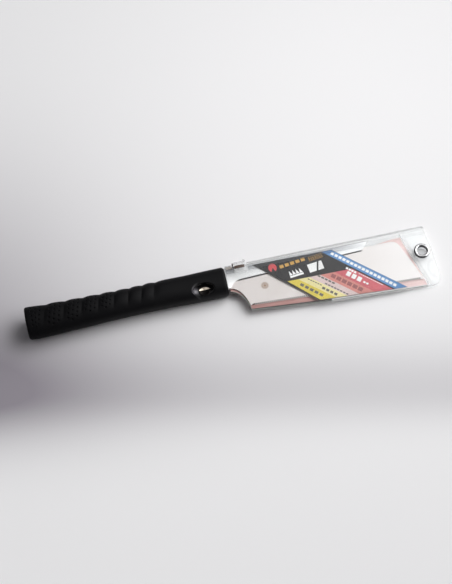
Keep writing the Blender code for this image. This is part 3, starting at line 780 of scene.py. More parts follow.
def grip_stations():
    """Where the sleeve's rings go: dense at the dimples and just past the grooves."""
    stops = list(np.arange(-201.6, -112.0, 1.9)) + list(np.arange(-60.0, -3.2, 1.6))
    from_dimple = (0.24, 0.48, 0.72, 0.95, 1.13, 1.32)
    for column in DIMPLE_COLUMNS:
        stops.append(column)
        stops += [column + side * d for side in (-1, 1) for d in from_dimple]
    pitches = list(np.diff(GROOVES)) + [12.0]
    for groove, pitch in zip(GROOVES, pitches):
        stops += [groove + pitch * share for share in (
            -0.06, -0.03, 0.0, 0.02, 0.045, 0.075, 0.105, 0.13, 0.15, 0.18,
            0.3, 0.42, 0.54, 0.66, 0.78, 0.9)]
    rounded = {round(float(x), 3) for x in stops}
    stops = sorted(x for x in rounded if -203.3 < x < -3.1)
    kept = stops[:1]
    for x in stops[1:]:
        if x - kept[-1] > 0.14:
            kept.append(x)
    return kept


def grip_shape():
    """A sleeve closed at the butt and open at the front, outside first and then inside."""
    butt_round, front_round = 2.4, 3.0
    rings = [handle_ring(BUTT, inset, relief=0.9) for inset in (12.6, 10.0, 7.0, 4.6)]
    for k in range(9):
        turn = math.radians(90 * k / 8)
        rings.append(handle_ring(BUTT + butt_round * (1 - math.cos(turn)),
                                 butt_round * (1 - math.sin(turn)), relief=0.9))
    for x in grip_stations():
        lean = (SLANT * float(smooth_step((x + 200.0) / 14.0))
                * float(smooth_step((-52.0 - x) / 14.0)))
        relief = 0.9 + 0.1 * float(smooth_step((x + 202.0) / 10.0))
        rings.append(handle_ring(x, 0.0, lean, relief, dimples=x > -201.2))
    for k in range(9):
        turn = math.radians(80 * k / 8)
        rings.append(handle_ring(-front_round + front_round * math.sin(turn),
                                 front_round * (1 - math.cos(turn))))
    for x, inset in ((-0.25, 2.95), (-0.5, 2.85), (-0.52, 2.05)):
        rings.append(handle_ring(x, inset))
    for x in (-2.0, -12.0, -25.0, -45.0, -55.0, -62.0, -70.0, -85.0, -100.0, -125.0, -150.0,
              -180.0, -199.8):
        # the skin is 3 mm thick, and 2 mm near the front
        rings.append(handle_ring(x, 3.0 - float(smooth_step((x + 70.0) / 20.0))))
    verts, faces = loft(rings, caps=False)
    n, m = len(LOOP_ANGLES), len(rings)
    verts += [(BUTT, -1.9, 0.0), (-199.8, -2.2, 0.0)]
    faces += [[m * n, (i + 1) % n, i] for i in range(n)]
    faces += [[m * n + 1, (m - 1) * n + i, (m - 1) * n + (i + 1) % n] for i in range(n)]
    return verts, faces


def scoop():
    """The thumb recess: an oval bowl whose axis tilts from +Z towards -Y."""
    cx, cy, cz = -25.0, -7.9, 9.7
    tilt = math.radians(23.8)
    sine, cosine = math.sin(tilt), math.cos(tilt)
    rows = []                           # height on the axis, half length, half width
    for height in np.linspace(-5.25, 0.0, 15):
        share = (1 - (-height / 6.2) ** 1.6) ** 0.6
        rows.append((height, 11.8 * share, 6.75 * share))
    rows += [(1.0, 11.95, 6.85), (2.2, 12.1, 6.95), (4.0, 12.4, 7.2), (9.0, 12.9, 7.6)]
    turns = [2 * math.pi * i / 96 for i in range(96)]
    rings = []
    for height, half_length, half_width in rows:
        ring = []
        for turn in turns:
            wide = half_width * math.sin(turn)
            ring.append((cx + half_length * math.cos(turn), cy + cosine * wide - sine * height,
                         cz + sine * wide + cosine * height))
        rings.append(ring)
    return loft(rings)


def build_grip():
    grip = make("grip_skin", grip_shape(), GRIP, "handle", ("grip_sleeve",),
                sharp=60)
    # solid stock under the recess, which the recess and the screw's well are cut into
    angles = np.linspace(0, 2 * math.pi, 97)[:-1]
    stock = [handle_ring(x, 1.0, angles=angles) for x in np.linspace(-46, -6, 21)]
    plug = make("plug", loft(stock), GRIP)
    oval = [(-25.0 + 14.4 * math.cos(t), -7.6 + 9.6 * math.sin(t))
            for t in np.linspace(0, 2 * math.pi, 73)[:-1]]
    cut(plug, "plug_cut", prism(oval, 2.4, 30.0), operation="INTERSECT")
    boolean(grip, plug, "UNION", 60)
    cut(grip, "scoop", scoop(), 60)
    cut(grip, "well", cylinder(SCREW, 6.2, 1.6, 22.0), 40)


def build_screw():
    head = 6.0
    profile = [                         # radius, z
        (2.0, -7.2), (2.5, -6.7), (2.5, 3.6), (head - 0.35, 3.6), (head - 0.1, 3.68),
        (head, 3.9), (head, 5.30), (head - 0.05, 5.46), (head - 0.16, 5.62),
        (head - 0.34, 5.74), (head - 0.58, 5.80), (head - 0.82, 5.76), (head - 1.1, 5.68),
        (head - 2.2, 5.44), (head - 3.5, 5.16), (head - 5.0, 4.84),
    ]
    screw = make("lock_screw_head", turned(SCREW, profile, 112, closed=False), NICKEL,
                 "lock_screw", ("lock_screw",), sharp=32)
    slot = [(SCREW[0] + 8 * i, SCREW[1] + 0.8 * j)
            for i, j in ((-1, -1), (1, -1), (1, 1), (-1, 1))]
    cut(screw, "slot", prism(slot, 4.0, 9), 32)


build_grip()
build_screw()


# ----------------------------------------------------------------------- spine and blade
def bevel_run(bm, points, width, segments):
    """Bevels the edges that run in both faces of a plate between the given (x, y) points."""
    places = [Vector(((x + DATUM[0]) * MM, (y + DATUM[1]) * MM, 0)) for x, y in points]

    def listed(vert):
        flat = Vector((vert.co.x, vert.co.y, 0))
        return any((flat - place).length < 1e-5 for place in places)

    picked = [edge for edge in bm.edges
              if abs(edge.verts[0].co.z - edge.verts[1].co.z) < 1e-6
              and all(listed(vert) for vert in edge.verts)]
    bmesh.ops.bevel(bm, geom=picked, offset=width * MM, segments=segments, profile=0.5,
                    affect="EDGES", clamp_overlap=True)


def build_spine():
    tip_corner, low_corner = (153.6, 12.8), (145.0, 3.4)
    pin_x, pin_y, pin_radius = -52.0, 2.6, 2.4
    notch_x, notch_y, notch_radius = *SCREW, 2.9
    tang, front = -61.5, 0.4            # the tang's end and its shoulder
    curve = bezier((3.6, -8.6), (6.5, -2.4), (14.5, -0.9), 24)
    outline = [(front, SPINE_TOP), (front, 9.4), (tang, 8.8), (tang, pin_y + pin_radius)]
    outline += arc(pin_x, pin_y, pin_radius, 90.0, -90.0, 24)
    outline += [(tang, pin_y - pin_radius), (tang, notch_y + notch_radius)]
    outline += arc(notch_x, notch_y, notch_radius, 90.0, 0.0, 16)
    outline += [(notch_x + notch_radius, -8.4), (front, -8.4), (front, -9.1), (3.0, -9.1)]
    outline += curve + [low_corner, tip_corner]
    spine = make("spine_back", prism(outline, -1.25, 1.25), SPINE, "blade_unit",
                 ("spine",))
    bm = bmesh.new()
    bm.from_mesh(spine.data)
    bevel_run(bm, [(front, SPINE_TOP), tip_corner], 1.15, 7)
    bevel_run(bm, curve[-5:] + [low_corner], 0.60, 1)
    bm.to_mesh(spine.data)
    bm.free()
    # the gap inside the fold, which holds the blade
    gap = [(2.6, -20.0), (170.0, -20.0), (170.0, 11.15), (2.6, 12.85)]
    cut(spine, "fold", prism(gap, -0.55, 0.55), 30)
    bevel(spine, 0.12, 30)


def build_blade():
    slope, heel, length = math.atan(TOOTH_SLOPE), (18.7, -31.9), 180.0
    pitch, depth = 2.066, 2.2
    half, tip_half, tooth_set = 0.25, 0.12, 0.16
    ux, uy = math.cos(slope), math.sin(slope)
    # x, y and the side a point is set to: 0, or +1 and -1 on alternate tooth tips
    points = [(3.2, 12.5, 0), (3.2, -8.9, 0)]
    points += [(x, y, 0) for x, y in bezier((4.2, -9.2), (15.0, -12.7), heel, 28)]
    for i in range(int((length - 5.0) / pitch)):
        side = (1, -1)[i % 2]
        for share, rise, lean in ((0.08, 1.0, 0), (0.50, 1.0, 0), (0.62, 0.0, side),
                                  (1.0, 0.0, side)):
            t = 3.4 + i * pitch + pitch * share
            points.append((heel[0] + t * ux - uy * depth * rise,
                           heel[1] + t * uy + ux * depth * rise, lean))
    points += [(heel[0] + length * ux, heel[1] + length * uy, 0), (185.5, -3.2, 0)]
    points += [(x, y, 0) for x, y in bezier((184.7, -1.3), (182.8, 5.4), (176.0, 6.3), 12)]
    points += [(160.0, 6.5, 0), (143.0, 6.3, 0), (140.0, 10.8, 0)]
    verts = [(x, y, face * (tip_half if lean else half) + tooth_set * lean)
             for face in (-1, 1) for x, y, lean in points]
    make("blade_plate", (verts, prism_faces(len(points))), BLADE, "blade_unit",
         ("blade",), sharp=20)


build_spine()
build_blade()

# ---------------------------------------------------------------------------------- sheath
SHEET_LEFT, SHEET_TOP, SHEET_RIGHT = 1.8, 13.4, 213.2
SHEET_CORNER = (87.4, -44.9)            # where the lower edge bends
TIP_ROUND = (206.5, -43.2, 8.4)         # centre and radius of the tip's lower corner
CARD_CORNER = (87.4, -40.9)
HEEL_CARD = bezier((2.4, -11.9), (18.9, -16.9), (18.7, -34.9), 24)
HEEL_CURVE = bezier((6.2, -14.9), (15.2, -20.4), (18.6, -37.7), 24)
BOTTOM = [(SHEET_LEFT, -13.2), (4.3, -13.9)] + HEEL_CURVE + [SHEET_CORNER, (199.4, -51.5)]
BOTTOM += arc(*TIP_ROUND, -90.0, -52.0, 8)
RIGHT = arc(*TIP_ROUND, -52.0, -14.0, 8)
RIGHT += [(215.5, -36.0), (215.5, -10.0), (213.9, 6.5), (SHEET_RIGHT, SHEET_TOP)]


def panel_lift(x, y):
    """How far the front panel stands out of its plane."""
    # the pressed line of the end weld
    weld = np.interp(-y, (-13.4, 0.0, 51.1), (188.2, 190.9, 202.6))
    away = (x - weld) / 1.5
    z = -0.16 * np.exp(-(away**2)) + 0.09 * np.exp(-(((np.abs(away) - 1.6) / 0.6) ** 2))
    # a raised lobe in the tip's lower corner
    lobe = ((x - 209.5) / 4.6) ** 2 + ((y + 33.5 - 0.25 * (x - 209.5)) / 9.5) ** 2
    z = z + 0.55 * smooth_step((1.15 - lobe) / 0.45)
    # the slow waves of a thin sheet, gone at the mouth
    mouth = smooth_step((15.0 - x) / 10.0)
    return z + 0.07 * np.sin(x * 0.083 + 0.9) * np.cos(y * 0.071 - 0.4) * (1 - mouth)


def build_panel(name, node, middle, lift, material):
    """A clear panel at z = middle: a fine grid between its four sides, with rounded edges."""
    half, edge_round = 0.3, 0.14
    us = np.concatenate([np.linspace(0, 0.86, 132)[:-1], np.linspace(0.86, 1.0, 62)])
    vs = np.concatenate([np.linspace(0, 0.06, 4)[:-1], np.linspace(0.06, 1.0, 58)])
    nu, nv = len(us), len(vs)
    bottom = np.asarray(BOTTOM)
    low_x = SHEET_LEFT + us * (bottom[-1, 0] - SHEET_LEFT)
    low = np.stack([low_x, np.interp(low_x, bottom[:, 0], bottom[:, 1])], 1)
    high = np.stack([SHEET_LEFT + us * (SHEET_RIGHT - SHEET_LEFT), np.full(nu, SHEET_TOP)], 1)
    left = np.stack([np.full(nv, SHEET_LEFT),
                     BOTTOM[0][1] + vs * (SHEET_TOP - BOTTOM[0][1])], 1)
    right = resample(RIGHT, vs)
    u, v = us[:, None, None], vs[None, :, None]
    corners = ((1 - u) * (1 - v) * low[0] + u * (1 - v) * low[-1]
               + (1 - u) * v * high[0] + u * v * high[-1])
    grid = ((1 - v) * low[:, None] + v * high[:, None] + (1 - u) * left[None]
            + u * right[None] - corners)
    rise = lift * panel_lift(grid[..., 0], grid[..., 1])
    upper = np.dstack([grid, middle + half + rise]).reshape(-1, 3)
    lower = np.dstack([grid, middle - half + rise]).reshape(-1, 3)
    rim = [(i, 0) for i in range(nu)] + [(nu - 1, j) for j in range(1, nv)]
    rim += [(i, nv - 1) for i in range(nu - 2, -1, -1)] + [(0, j) for j in range(nv - 2, 0, -1)]
    ids = [i * nv + j for i, j in rim]
    loop = grid.reshape(-1, 2)[ids]
    ways = np.roll(loop, -1, 0) - np.roll(loop, 1, 0)
    ways /= np.linalg.norm(ways, axis=1, keepdims=True)
    out = np.stack([ways[:, 1], -ways[:, 0]], 1)
    edge = np.column_stack([loop + edge_round * out, middle + rise.reshape(-1)[ids]])
    total, count = nu * nv, len(ids)
    faces = [[i * nv + j, (i + 1) * nv + j, (i + 1) * nv + j + 1, i * nv + j + 1]
             for i in range(nu - 1) for j in range(nv - 1)]
    faces += [[total + i for i in face[::-1]] for face in faces]
    for k in range(count):
        q = (k + 1) % count
        faces.append([ids[k], 2 * total + k, 2 * total + q, ids[q]])
        faces.append([2 * total + k, total + ids[k], total + ids[q], 2 * total + q])
    panel = make(name, (np.concatenate([upper, lower, edge]), faces), material, "sheath",
                 sharp=50)
    cut(panel, "hole", cylinder(EYELET, 5.9, -8.0, 8.0), 50)
    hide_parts(node)


def channel_ring(x, centre, half_y, half_z, wall, count):
    """The section at x of a rounded channel along X, open towards the teeth."""
    power, lip_z = 2.6, 3.0

    def side(half_y, half_z):
        lip_y = half_y * (1 - (lip_z / half_z) ** power) ** (1 / power)
        start = math.atan2((lip_z / half_z) ** (power / 2), -((lip_y / half_y) ** (power / 2)))
        turns = [start - 2 * start * i / count for i in range(count + 1)]
        return [(x, centre + half_y * signed_power(math.cos(t), 2 / power),
                 half_z * signed_power(math.sin(t), 2 / power)) for t in turns]

    return side(half_y, half_z) + side(half_y - wall, half_z - wall)[::-1]


def build_rail(name, node, x0, x1, round_end):
    nose = 3.0                          # length of the rounded end
    stops = list(np.linspace(x0, x1 - nose, max(3, int((x1 - x0) / 3))))
    stops += [x1 - 2.2, x1 - 1.5, x1 - 0.9, x1 - 0.4, x1]
    rings = []
    for x in stops:
        past = max(0.0, (x - x1 + nose) / nose) if round_end else 0.0
        size = 1 - 0.16 * (1 - math.sqrt(1 - past**2))
        wave = 0.05 * math.sin(x * 0.11) + 0.03 * math.sin(x * 0.31 + 1.0)
        rings.append(channel_ring(x, 10.8 + 0.3 * (1 - size), (5.4 + wave) * size,
                                  (4.4 + wave * 0.6) * (0.5 + 0.5 * size), 0.8, 46))
    make(name, loft(rings), CLEAR_RAIL, "sheath", (node,), sharp=50)


def build_clip():
    stations = (                        # x, growth of the section
        (11.1, -0.15), (11.2, 0.0), (12.4, 0.0), (17.2, 0.0), (21.4, 0.0), (21.7, 0.25),
        (21.9, 0.8), (22.2, 0.95), (23.1, 0.95), (23.4, 0.85), (23.6, 0.55),
    )
    rings = [channel_ring(x, 11.8 + grow * 0.6, 6.7 + grow * 1.3, 4.7 + grow * 0.9,
                          1.1 + grow * 1.2, 34) for x, grow in stations]
    make("mouth_clip_clear", loft(rings), CLEAR_CLIP, "sheath",
         ("mouth_clip",), sharp=40)


def strip(rows, thick, flat):
    """A bar through (x, y, z, half width); it is thin along Z if flat, else along X."""
    turns = [2 * math.pi * k / 16 for k in range(16)]
    section = [(signed_power(math.cos(t), 0.5), thick * signed_power(math.sin(t), 0.5))
               for t in turns]
    return loft([[(x, y + half * wide, z + deep) if flat else (x + deep, y + half * wide, z)
                  for wide, deep in section] for x, y, z, half in rows])


def build_leaf():
    """The dark leaf that lies on the clip, its turned-up end and the tail inside the mouth."""
    leaf = []
    for i in range(25):
        t = i / 24
        leaf.append((11.15 + 10.6 * t, 11.3, 5.15 + 0.25 * math.sin(math.pi * t),
                     1.60 * min(1.0, 0.75 + 2.5 * min(t, 1 - t))))
    ear = [(10.05 - 0.08 * i, 12.3 + 0.18 * i, 4.85 + 0.50 * i, 2.3 - 0.12 * i)
           for i in range(7)]
    tail = [(2.8 + 6.4 * i / 12, 13.1 + 0.1 * math.sin(i), 1.76,
             1.55 * min(1.0, 0.8 + 0.1 * min(i, 12 - i))) for i in range(13)]
    shape = join([strip(leaf, 0.22, True), strip(ear, 0.62, False), strip(tail, 0.10, True)])
    make("clip_leaf", shape, BRONZE, "sheath", ("clip_strip",), sharp=50)


def build_eyelet():
    ring = [(4.88, 2.2), (5.6, 2.2), (5.6, 2.78), (7.95, 2.78), (8.06, 2.95), (8.08, 4.0)]
    ring += [(6.5 + 1.55 * math.cos(t), 4.1 + 1.30 * math.sin(t))
             for t in np.linspace(0.08, math.pi - 0.25, 14)]
    ring += [(4.92, 4.0), (4.88, 3.2)]
    washer = [(6.0, -2.95), (6.0, -3.5), (6.1, -3.8), (6.3, -3.98), (6.5, -3.98),
              (6.75, -3.8), (6.9, -3.5), (6.9, -2.95)]
    for name, node, profile in (("eyelet_ring", "eyelet", ring),
                                ("eyelet_back_ring", "eyelet_washer", washer)):
        make(name, turned(EYELET, profile, 128, closed=True), CHROME, "sheath",
             (node,), sharp=40)


build_panel("sheath_front_clear", "sheath_front_panel", 2.4, 1.0, CLEAR)
build_panel("sheath_back_clear", "sheath_back_panel", -2.4, -0.6, CLEAR_BACK)
build_rail("sheath_rail_clear", "sheath_rail", 25.0, 213.0, round_end=True)
build_rail("mouth_rail_clear", "mouth_rail", 1.9, 10.4, round_end=False)
build_clip()
build_leaf()
build_eyelet()

# ----------------------------------------------------------------------------------- label
INK = print_material("label_black", (0.009, 0.008, 0.010), (0.017, 0.016, 0.018),
                     gloss=0.34, speck=0.02)
# painted shade: a dark print for the lines of shade along the card's edge and the blade's heel
PAINTED_SHADE = print_material("painted_line_shade", (0.026, 0.021, 0.020), (0.045, 0.036, 0.034),
                      gloss=0.5, speck=0.03)
CARD = print_material("label_board", (0.66, 0.65, 0.62), gloss=0.6, speck=0.05)
TONES = {
    "yellow": (0.640, 0.510, 0.020), "cream": (0.720, 0.640, 0.290),
    "blush": (0.620, 0.480, 0.470), "salmon": (0.560, 0.180, 0.150),
    "red": (0.520, 0.060, 0.085), "blue": (0.040, 0.205, 0.480), "white": (0.82, 0.82, 0.82),
    "gold": (0.560, 0.300, 0.035), "spot": (0.560, 0.030, 0.040),
    "grey": (0.080, 0.070, 0.060), "wine": (0.260, 0.050, 0.050),
}
PRINT = {tone: print_material("ink_" + tone, colour) for tone, colour in TONES.items()}
LABEL = [(30.0, 11.6), (87.4, -42.2), (178.9, -48.2), (113.9, 10.3)]
LABEL_BACK, LABEL_FACE, INK_THICK = 1.55, 1.80, 0.015
# the slanting lines between the colour bands, and the lines that end them
BAND_LINES = [
    ((61.0, -14.6), (88.2, -42.0)), ((72.1, -14.7), (103.7, -42.5)),
    ((83.6, -14.9), (116.0, -43.6)), ((95.7, -15.2), (127.7, -44.0)),
    ((110.9, -15.6), (143.0, -44.6)), ((128.6, -15.3), (162.6, -46.4)),
]
BAND_TOP = ((61.0, -14.6), (129.0, -15.4))
BAND_BOTTOM = (LABEL[1], LABEL[2])
BAND_TONES = ["yellow", "cream", "blush", "salmon", "red"]
BLUE_BAND = [(103.4, 10.1), (165.8, -47.2), (178.5, -48.0), (113.6, 10.1)]
BLUE_AXIS = ((108.6, 10.1), (171.9, -47.6))
# bars printed on the bands: tone, band, share of the axis at start and end, count,
# sideways offset, width, share of the step left as a gap
BAND_BARS = [
    ("grey", 0, 0.22, 0.90, 5, 0.0, 3.0, 0.30),
    ("grey", 1, 0.10, 0.48, 6, 1.4, 1.1, 0.3), ("grey", 1, 0.50, 0.92, 4, -0.6, 2.6, 0.3),
    ("grey", 2, 0.06, 0.52, 5, 2.0, 1.9, 0.25), ("grey", 2, 0.30, 0.92, 8, -2.4, 1.5, 0.3),
    ("wine", 3, 0.10, 0.92, 6, 0.2, 4.2, 0.22),
    ("white", 4, 0.03, 0.30, 4, 4.0, 2.2, 0.25), ("white", 4, 0.34, 0.95, 12, 4.6, 0.9, 0.35),
    ("white", 4, 0.10, 0.50, 3, -0.9, 5.2, 0.28), ("white", 4, 0.52, 0.66, 2, -1.6, 2.0, 0.25),
    ("white", 5, 0.06, 0.95, 17, 0.0, 3.0, 0.25),
]


def meet(first, second):
    """Where two lines cross."""
    (x1, y1), (x2, y2) = first
    (x3, y3), (x4, y4) = second
    den = (x1 - x2) * (y3 - y4) - (y1 - y2) * (x3 - x4)
    p, q = x1 * y2 - y1 * x2, x3 * y4 - y3 * x4
    return ((p * (x3 - x4) - (x1 - x2) * q) / den, (p * (y3 - y4) - (y1 - y2) * q) / den)


def along(line, share, side=0.0):
    """A point at a share of a line, moved sideways."""
    (x1, y1), (x2, y2) = line
    dx, dy = x2 - x1, y2 - y1
    length = math.hypot(dx, dy)
    return (x1 + dx * share - dy / length * side, y1 + dy * share + dx / length * side)


def bar(line, start, end, side, width):
    low, high = side - width / 2, side + width / 2
    return [along(line, start, low), along(line, end, low),
            along(line, end, high), along(line, start, high)]


def bars(line, start, end, count, side, width, gap):
    step = (end - start) / count
    return [bar(line, start + step * i, start + step * (i + 1 - gap), side, width)
            for i in range(count)]


def build_label():
    label = make("label_sheet", prism(LABEL, LABEL_BACK, LABEL_FACE), [INK, CARD], "sheath",
                 ("label_card",), smooth=False)
    for face in label.data.polygons:
        face.material_index = int(face.normal.z < 0.5)      # card on all but the front
    prints = {}                         # tone -> shapes

    def ink(tone, outlines, layer=0):
        z = (LABEL_FACE, 1.815, 1.83)[layer:layer + 2]
        prints.setdefault(tone, []).extend(prism(outline, *z) for outline in outlines)

    tops = [meet(line, BAND_TOP) for line in BAND_LINES]
    feet = [meet(line, BAND_BOTTOM) for line in BAND_LINES]
    feet = [(x, y + 0.25) for x, y in feet]
    axes = []
    for k, tone in enumerate(BAND_TONES):
        ink(tone, [[tops[k], feet[k], feet[k + 1], tops[k + 1]]])
        axes.append([((ends[k][0] + ends[k + 1][0]) / 2, ends[k][1]) for ends in (tops, feet)])
    ink("blue", [BLUE_BAND])
    axes.append(BLUE_AXIS)
    for tone, band, *layout in BAND_BARS:
        ink(tone, bars(axes[band], *layout), layer=1)
    # a red spot with a wedge cut out of it
    turns = np.linspace(math.radians(-60), math.radians(240), 40)
    spot = [(49.7 + 4.3 * math.cos(t), 3.6 + 5.0 * math.sin(t)) for t in turns]
    ink("spot", [spot + [(49.7, 3.6)]])
    # a row of gold blocks, then four fine broken lines
    ink("gold", bars(((56.5, 2.6), (86.5, 6.6)), 0.02, 0.98, 5, 0.0, 3.6, 0.28))
    for side in (-1.6, -0.2, 1.2, 2.6):
        ink("gold", bars(((87.5, 4.2), (104.5, 6.4)), 0.04, 0.96, 7, side, 0.55, 0.35))
    # two white signs: a row of saw teeth and a board with a saw cut
    base = ((65.0, -11.6), (79.5, -10.0))
    ink("white", [bar(base, 0.0, 1.0, 0.8, 2.2)])
    ink("white", [[along(base, k / 4 + 0.01, 2.4), along(base, k / 4 + 0.24, 2.4),
                   along(base, k / 4 + 0.06, 8.0)] for k in range(4)])
    plank, height = ((86.0, -10.4), (101.5, -8.6)), 9.6
    for low0, low1, high1, high0 in ((0.0, 0.46, 0.70, 0.0), (0.58, 1.0, 1.0, 0.82)):
        ink("white", [[along(plank, low0), along(plank, low1),
                       along(plank, high1, height), along(plank, high0, height)]])
    for tone, shapes in prints.items():
        make("label_ink_" + tone, join(shapes), PRINT[tone], "sheath",
             smooth=False)


def build_card():
    outline = [(16.5, 11.6), (2.4, -4.0)] + HEEL_CARD + [
        CARD_CORNER, (200.2, -48.8), (197.4, -34.0), (195.0, -24.4), (193.2, -16.4),
        (190.6, -5.4), (188.2, 5.6), (187.7, 9.9), (176.0, 9.4), (163.0, 7.4), (143.0, 6.9),
        (130.0, 11.0)]
    card = make("backing_card", prism(outline, -1.80, -1.55), PINK, "sheath",
                ("back_card",), sharp=30)
    bevel(card, 0.06, 30)


build_label()
build_card()


# ---------------------------------------------------------------------- lines on the edges
def ribbon(path, half, z0, z1):
    """A flat strip along an open path, with a half width for each point."""
    ways = tangents(path)
    sides = np.stack([-ways[:, 1], ways[:, 0]], 1)
    return loft([[(*(a + b * w), z0), (*(a - b * w), z0), (*(a - b * w), z1), (*(a + b * w), z1)]
                 for a, b, w in zip(path, sides, half)])


def rod(path, radius, z):
    """A round bar that follows a path in the plane of the sheath."""
    turns = [2 * math.pi * k / 12 for k in range(12)]
    return loft([[(x - way_y * radius * math.cos(t), y + way_x * radius * math.cos(t),
                   z + radius * math.sin(t)) for t in turns]
                 for (x, y), (way_x, way_y) in zip(path, tangents(path))])


def edge_path(heel, corner, end):
    """Follows the heel points, then the lower edge through its corner, in even steps."""
    low = resample([heel[-1], corner, end], np.linspace(0, 1, 61))[1:]
    return resample(np.concatenate([heel, low]), np.linspace(0, 1, 240))


def build_edges():
    # the sheath's rolled lip along the heel and the lower edge
    path = edge_path([(2.1, -13.4), (4.3, -14.0)] + HEEL_CURVE, SHEET_CORNER, (199.0, -51.45))
    make("edge_lip", rod(path, 0.40, 2.25), LIP, "sheath", sharp=60)
    # painted shade: a dark line just outside the card
    path = edge_path(HEEL_CARD, CARD_CORNER, (199.5, -48.75))
    ways = tangents(path)
    path = path + np.stack([ways[:, 1], -ways[:, 0]], 1) * 0.55
    half = np.interp(path[:, 0], (15.0, 60.0, 130.0, 199.0), (0.62, 0.50, 0.30, 0.26))
    make("card_edge_shadow", ribbon(path, half, -2.08, -2.02), PAINTED_SHADE, "sheath",
         smooth=False)
    # painted shadow of the blade: a dark line on the card along the blade's heel, tapering at
    # its end
    heel = bezier((4.2, -9.2), (15.0, -12.7), (18.7, -31.9), 40)[:31]
    shade = np.asarray(heel) + (0.0, 0.50)
    half = 0.30 * np.minimum(1.0, (len(shade) - np.arange(len(shade))) / 8.0)
    make("heel_shade", ribbon(shade, half, -1.545, -1.52), PAINTED_SHADE, "sheath",
         smooth=False)


build_edges()

# CAD pieces that keep their shape and only get a material
KEPT = {
    "end_spacer": WELD, "edge_spacer": EDGE_WELD, "core_upper": CORE, "core_lower": CORE,
    "core_pin_front": ZINC, "core_pin_rear": ZINC, "tang_socket": ZINC, "tang_pin": ZINC,
    "clamp_nut": ZINC, "lock_washer": ZINC,
}
for node, material in KEPT.items():
    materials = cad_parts[node].data.materials
    materials.clear()
    materials.append(material)


# ----------------------------------------------------------------------------------- stage
def support_line():
    """Where the floor touches the handle, and its slope to touch the sheath's tip end too."""
    points = []
    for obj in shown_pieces():
        co = np.zeros(len(obj.data.vertices) * 3, np.float32)
        obj.data.vertices.foreach_get("co", co)
        points.append(co.reshape(-1, 3)[:, [0, 2]])
    points = np.concatenate(points)
    handle, tip = points[points[:, 0] < 0.11], points[points[:, 0] > 0.30]
    slope = 0.0
    for _ in range(6):
        rest = handle[np.argmin(handle[:, 1] - slope * handle[:, 0])]
        slope = float(np.min((tip[:, 1] - rest[1]) / (tip[:, 0] - rest[0])))
    return rest, slope


def floor_material():
    mat = Material("studio_floor")
    cloud = mat.noise(scale=3.0, detail=2.0, rough=0.4)
    grain = mat.noise(scale=900.0)
    tint = mat.mix(cloud, (0.868, 0.862, 0.874), (0.888, 0.884, 0.892))
    # slanting floor coordinates of roughly a millimetre: across to +X, down to -Y
    across = mat.line(mat.axis("x"), slope=949.6,
                      offset=mat.line(mat.axis("y"), slope=-222.1, offset=29.2))
    down = mat.line(mat.axis("x"), slope=-198.5,
                    offset=mat.line(mat.axis("y"), slope=-866.2, offset=332.9))

    def swell(centre, wide, level, above, below):
        """A soft bump round (centre, level); without a width it runs right across."""
        a = (across - centre) / wide if wide else 0.0
        b = mat.math("MAXIMUM", (level - down) / above, (down - level) / below)
        return mat.math("EXPONENT", (mat.math("MULTIPLY", a, a) + b * b) * -1.0)

    # painted shade: the floor is dimmer along one low band and towards its left end
    dim = (swell(centre=-92.0, wide=210.5, level=394.0, above=200.0, below=50.0) * 0.66
           + swell(centre=0.0, wide=0.0, level=392.0, above=46.0, below=30.0) * 0.25)
    dim = mat.math("MINIMUM", dim, 0.70) * (
        mat.span(across, over=(-150.0, -10.0)) * mat.span(across, over=(640.0, 470.0)))
    drops = (-0.99, -1.022, -0.972)     # red, green, blue
    shade = mat.node("CombineColor", {k: mat.line(dim, slope=drop, offset=1.0)
                                      for k, drop in enumerate(drops)})
    return mat.surface(Base_Color=mat.mix(1.0, tint, shade, blend="MULTIPLY"),
                       Roughness=mat.spread(grain, low=0.62, high=0.74),
                       Normal=mat.bump(grain, strength=0.03, distance=0.0001))


def build_floor():
    rest, slope = support_line()
    size, steps, shift, gap = 3.0, 12, 0.2, 0.0001
    verts, faces = [], []
    for i in range(steps + 1):
        for j in range(steps + 1):
            x, y = -size + 2 * size * i / steps, -size + 2 * size * j / steps
            verts.append((x + shift, y, rest[1] - gap + slope * (x + shift - rest[0])))
    for i in range(steps):
        for j in range(steps):
            k = i * (steps + 1) + j
            faces.append([k, k + steps + 1, k + steps + 2, k + 1])
    mesh = bpy.data.meshes.new("floor")
    mesh.from_pydata(verts, [], faces)
    mesh.materials.append(floor_material())
    floor = bpy.data.objects.new("floor", mesh)
    bpy.context.scene.collection.objects.link(floor)


def build_key():
    data = bpy.data.lights.new("key", "AREA")
    data.energy = 0.50
    data.color = (1.0, 0.995, 0.99)
    data.shape = "RECTANGLE"
    data.size = data.size_y = 0.50
    data.spread = math.radians(80)
    at, look = (0.62, 0.36, 0.80), (0.36, 0.10, 0.0)
    key = bpy.data.objects.new("key", data)
    key.location = at
    key.rotation_euler = (Vector(look) - Vector(at)).to_track_quat("-Z", "Y").to_euler()
    key.visible_glossy = False
    bpy.context.scene.collection.objects.link(key)


WORLD_POWER = 1.10
AMBIENT = 0.12
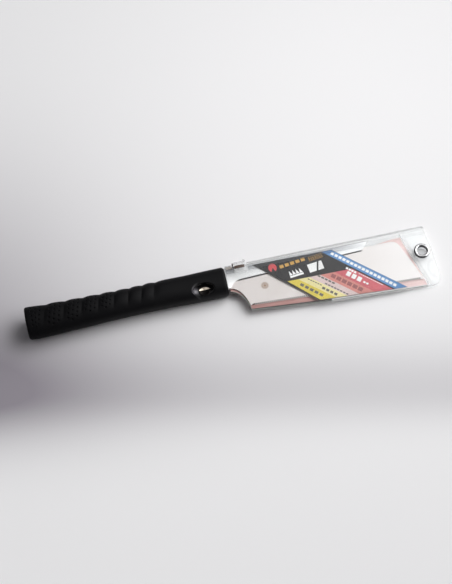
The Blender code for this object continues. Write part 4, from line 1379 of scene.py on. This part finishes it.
# soft boxes: direction, cosines where each begins and is full, strength
BOXES = [
    ((0.40, 0.36, 0.84), 0.93, 0.995, 1.30), ((0.80, 0.30, 0.52), 0.86, 0.985, 3.00),
    ((0.70, -0.15, 0.70), 0.90, 0.99, 3.35), ((-0.35, 0.0, 0.94), 0.90, 0.99, 0.87),
    ((0.25, 0.60, 0.76), 0.90, 0.99, 0.22),
]
SKY_BRIGHT = (0.62, 0.0, 0.78)          # the brightest direction
SKY_STOPS = [                           # place, colour; from the far side to the brightest
    (0.0, (0.02, 0.02, 0.022)), (0.45, (0.04, 0.039, 0.043)), (0.55, (0.28, 0.276, 0.29)),
    (0.655, (0.60, 0.60, 0.615)), (0.80, (0.88, 0.88, 0.89)), (0.885, (1.0, 1.0, 1.0)),
    (1.0, (1.0, 1.0, 1.0)),
]


def build_world():
    """A pale studio: brightest overhead to the right, dim low down on the left."""
    world = bpy.data.worlds.new("studio")
    bpy.context.scene.world = world
    world.use_nodes = True
    tree = world.node_tree
    background = tree.nodes["Background"]
    output = next(node for node in tree.nodes if node.type == "OUTPUT_WORLD")
    sky = Nodes(tree)

    def toward(direction):
        """The cosine of the angle to a direction."""
        return sky.node("VectorMath", {0: sky.coords.outputs["Generated"],
                                       1: Vector(direction).normalized()},
                        "Value", operation="DOT_PRODUCT")

    def add(first, second):
        return sky.node("Math", {0: first, 1: second}, operation="ADD")

    colour = sky.ramp(sky.span(toward(SKY_BRIGHT), over=(-1.0, 1.0)), SKY_STOPS)
    sky.put(background.inputs[0], colour)
    total = None
    for direction, begin, full, strength in BOXES:
        level = sky.span(toward(direction), over=(begin, full),
                         to=(0.0, strength * WORLD_POWER), kind="SMOOTHSTEP")
        total = level if total is None else add(total, level)
    sky.put(background.inputs[1], add(total, AMBIENT * WORLD_POWER))
    # the camera itself sees a pale backdrop beyond the floor
    pale = sky.node("Background", {0: (0.80, 0.80, 0.815), 1: 0.95})
    camera_ray = sky.node("LightPath", output="Is Camera Ray")
    sky.put(output.inputs[0], sky.blend(camera_ray, background.outputs[0], pale))


def build_camera():
    data = bpy.data.cameras.new("camera")
    data.sensor_width = 36.0
    data.lens = 80.14
    data.clip_start = 0.05
    camera = bpy.data.objects.new("camera", data)
    bpy.context.scene.collection.objects.link(camera)
    target, distance = Vector((0.20336, -0.00964, 0.0)), 1.3234
    back = Vector((-0.0943, -0.4119, 0.9063)).normalized()
    camera.location = target + back * distance
    camera.rotation_euler = (-back).to_track_quat("-Z", "Y").to_euler()
    bpy.context.scene.camera = camera


build_floor()
build_key()
build_world()
build_camera()

bpy.context.scene.view_settings.view_transform = "Standard"
bpy.context.scene.cycles.transparent_max_bounces = 40    # for the stacked clear sheets
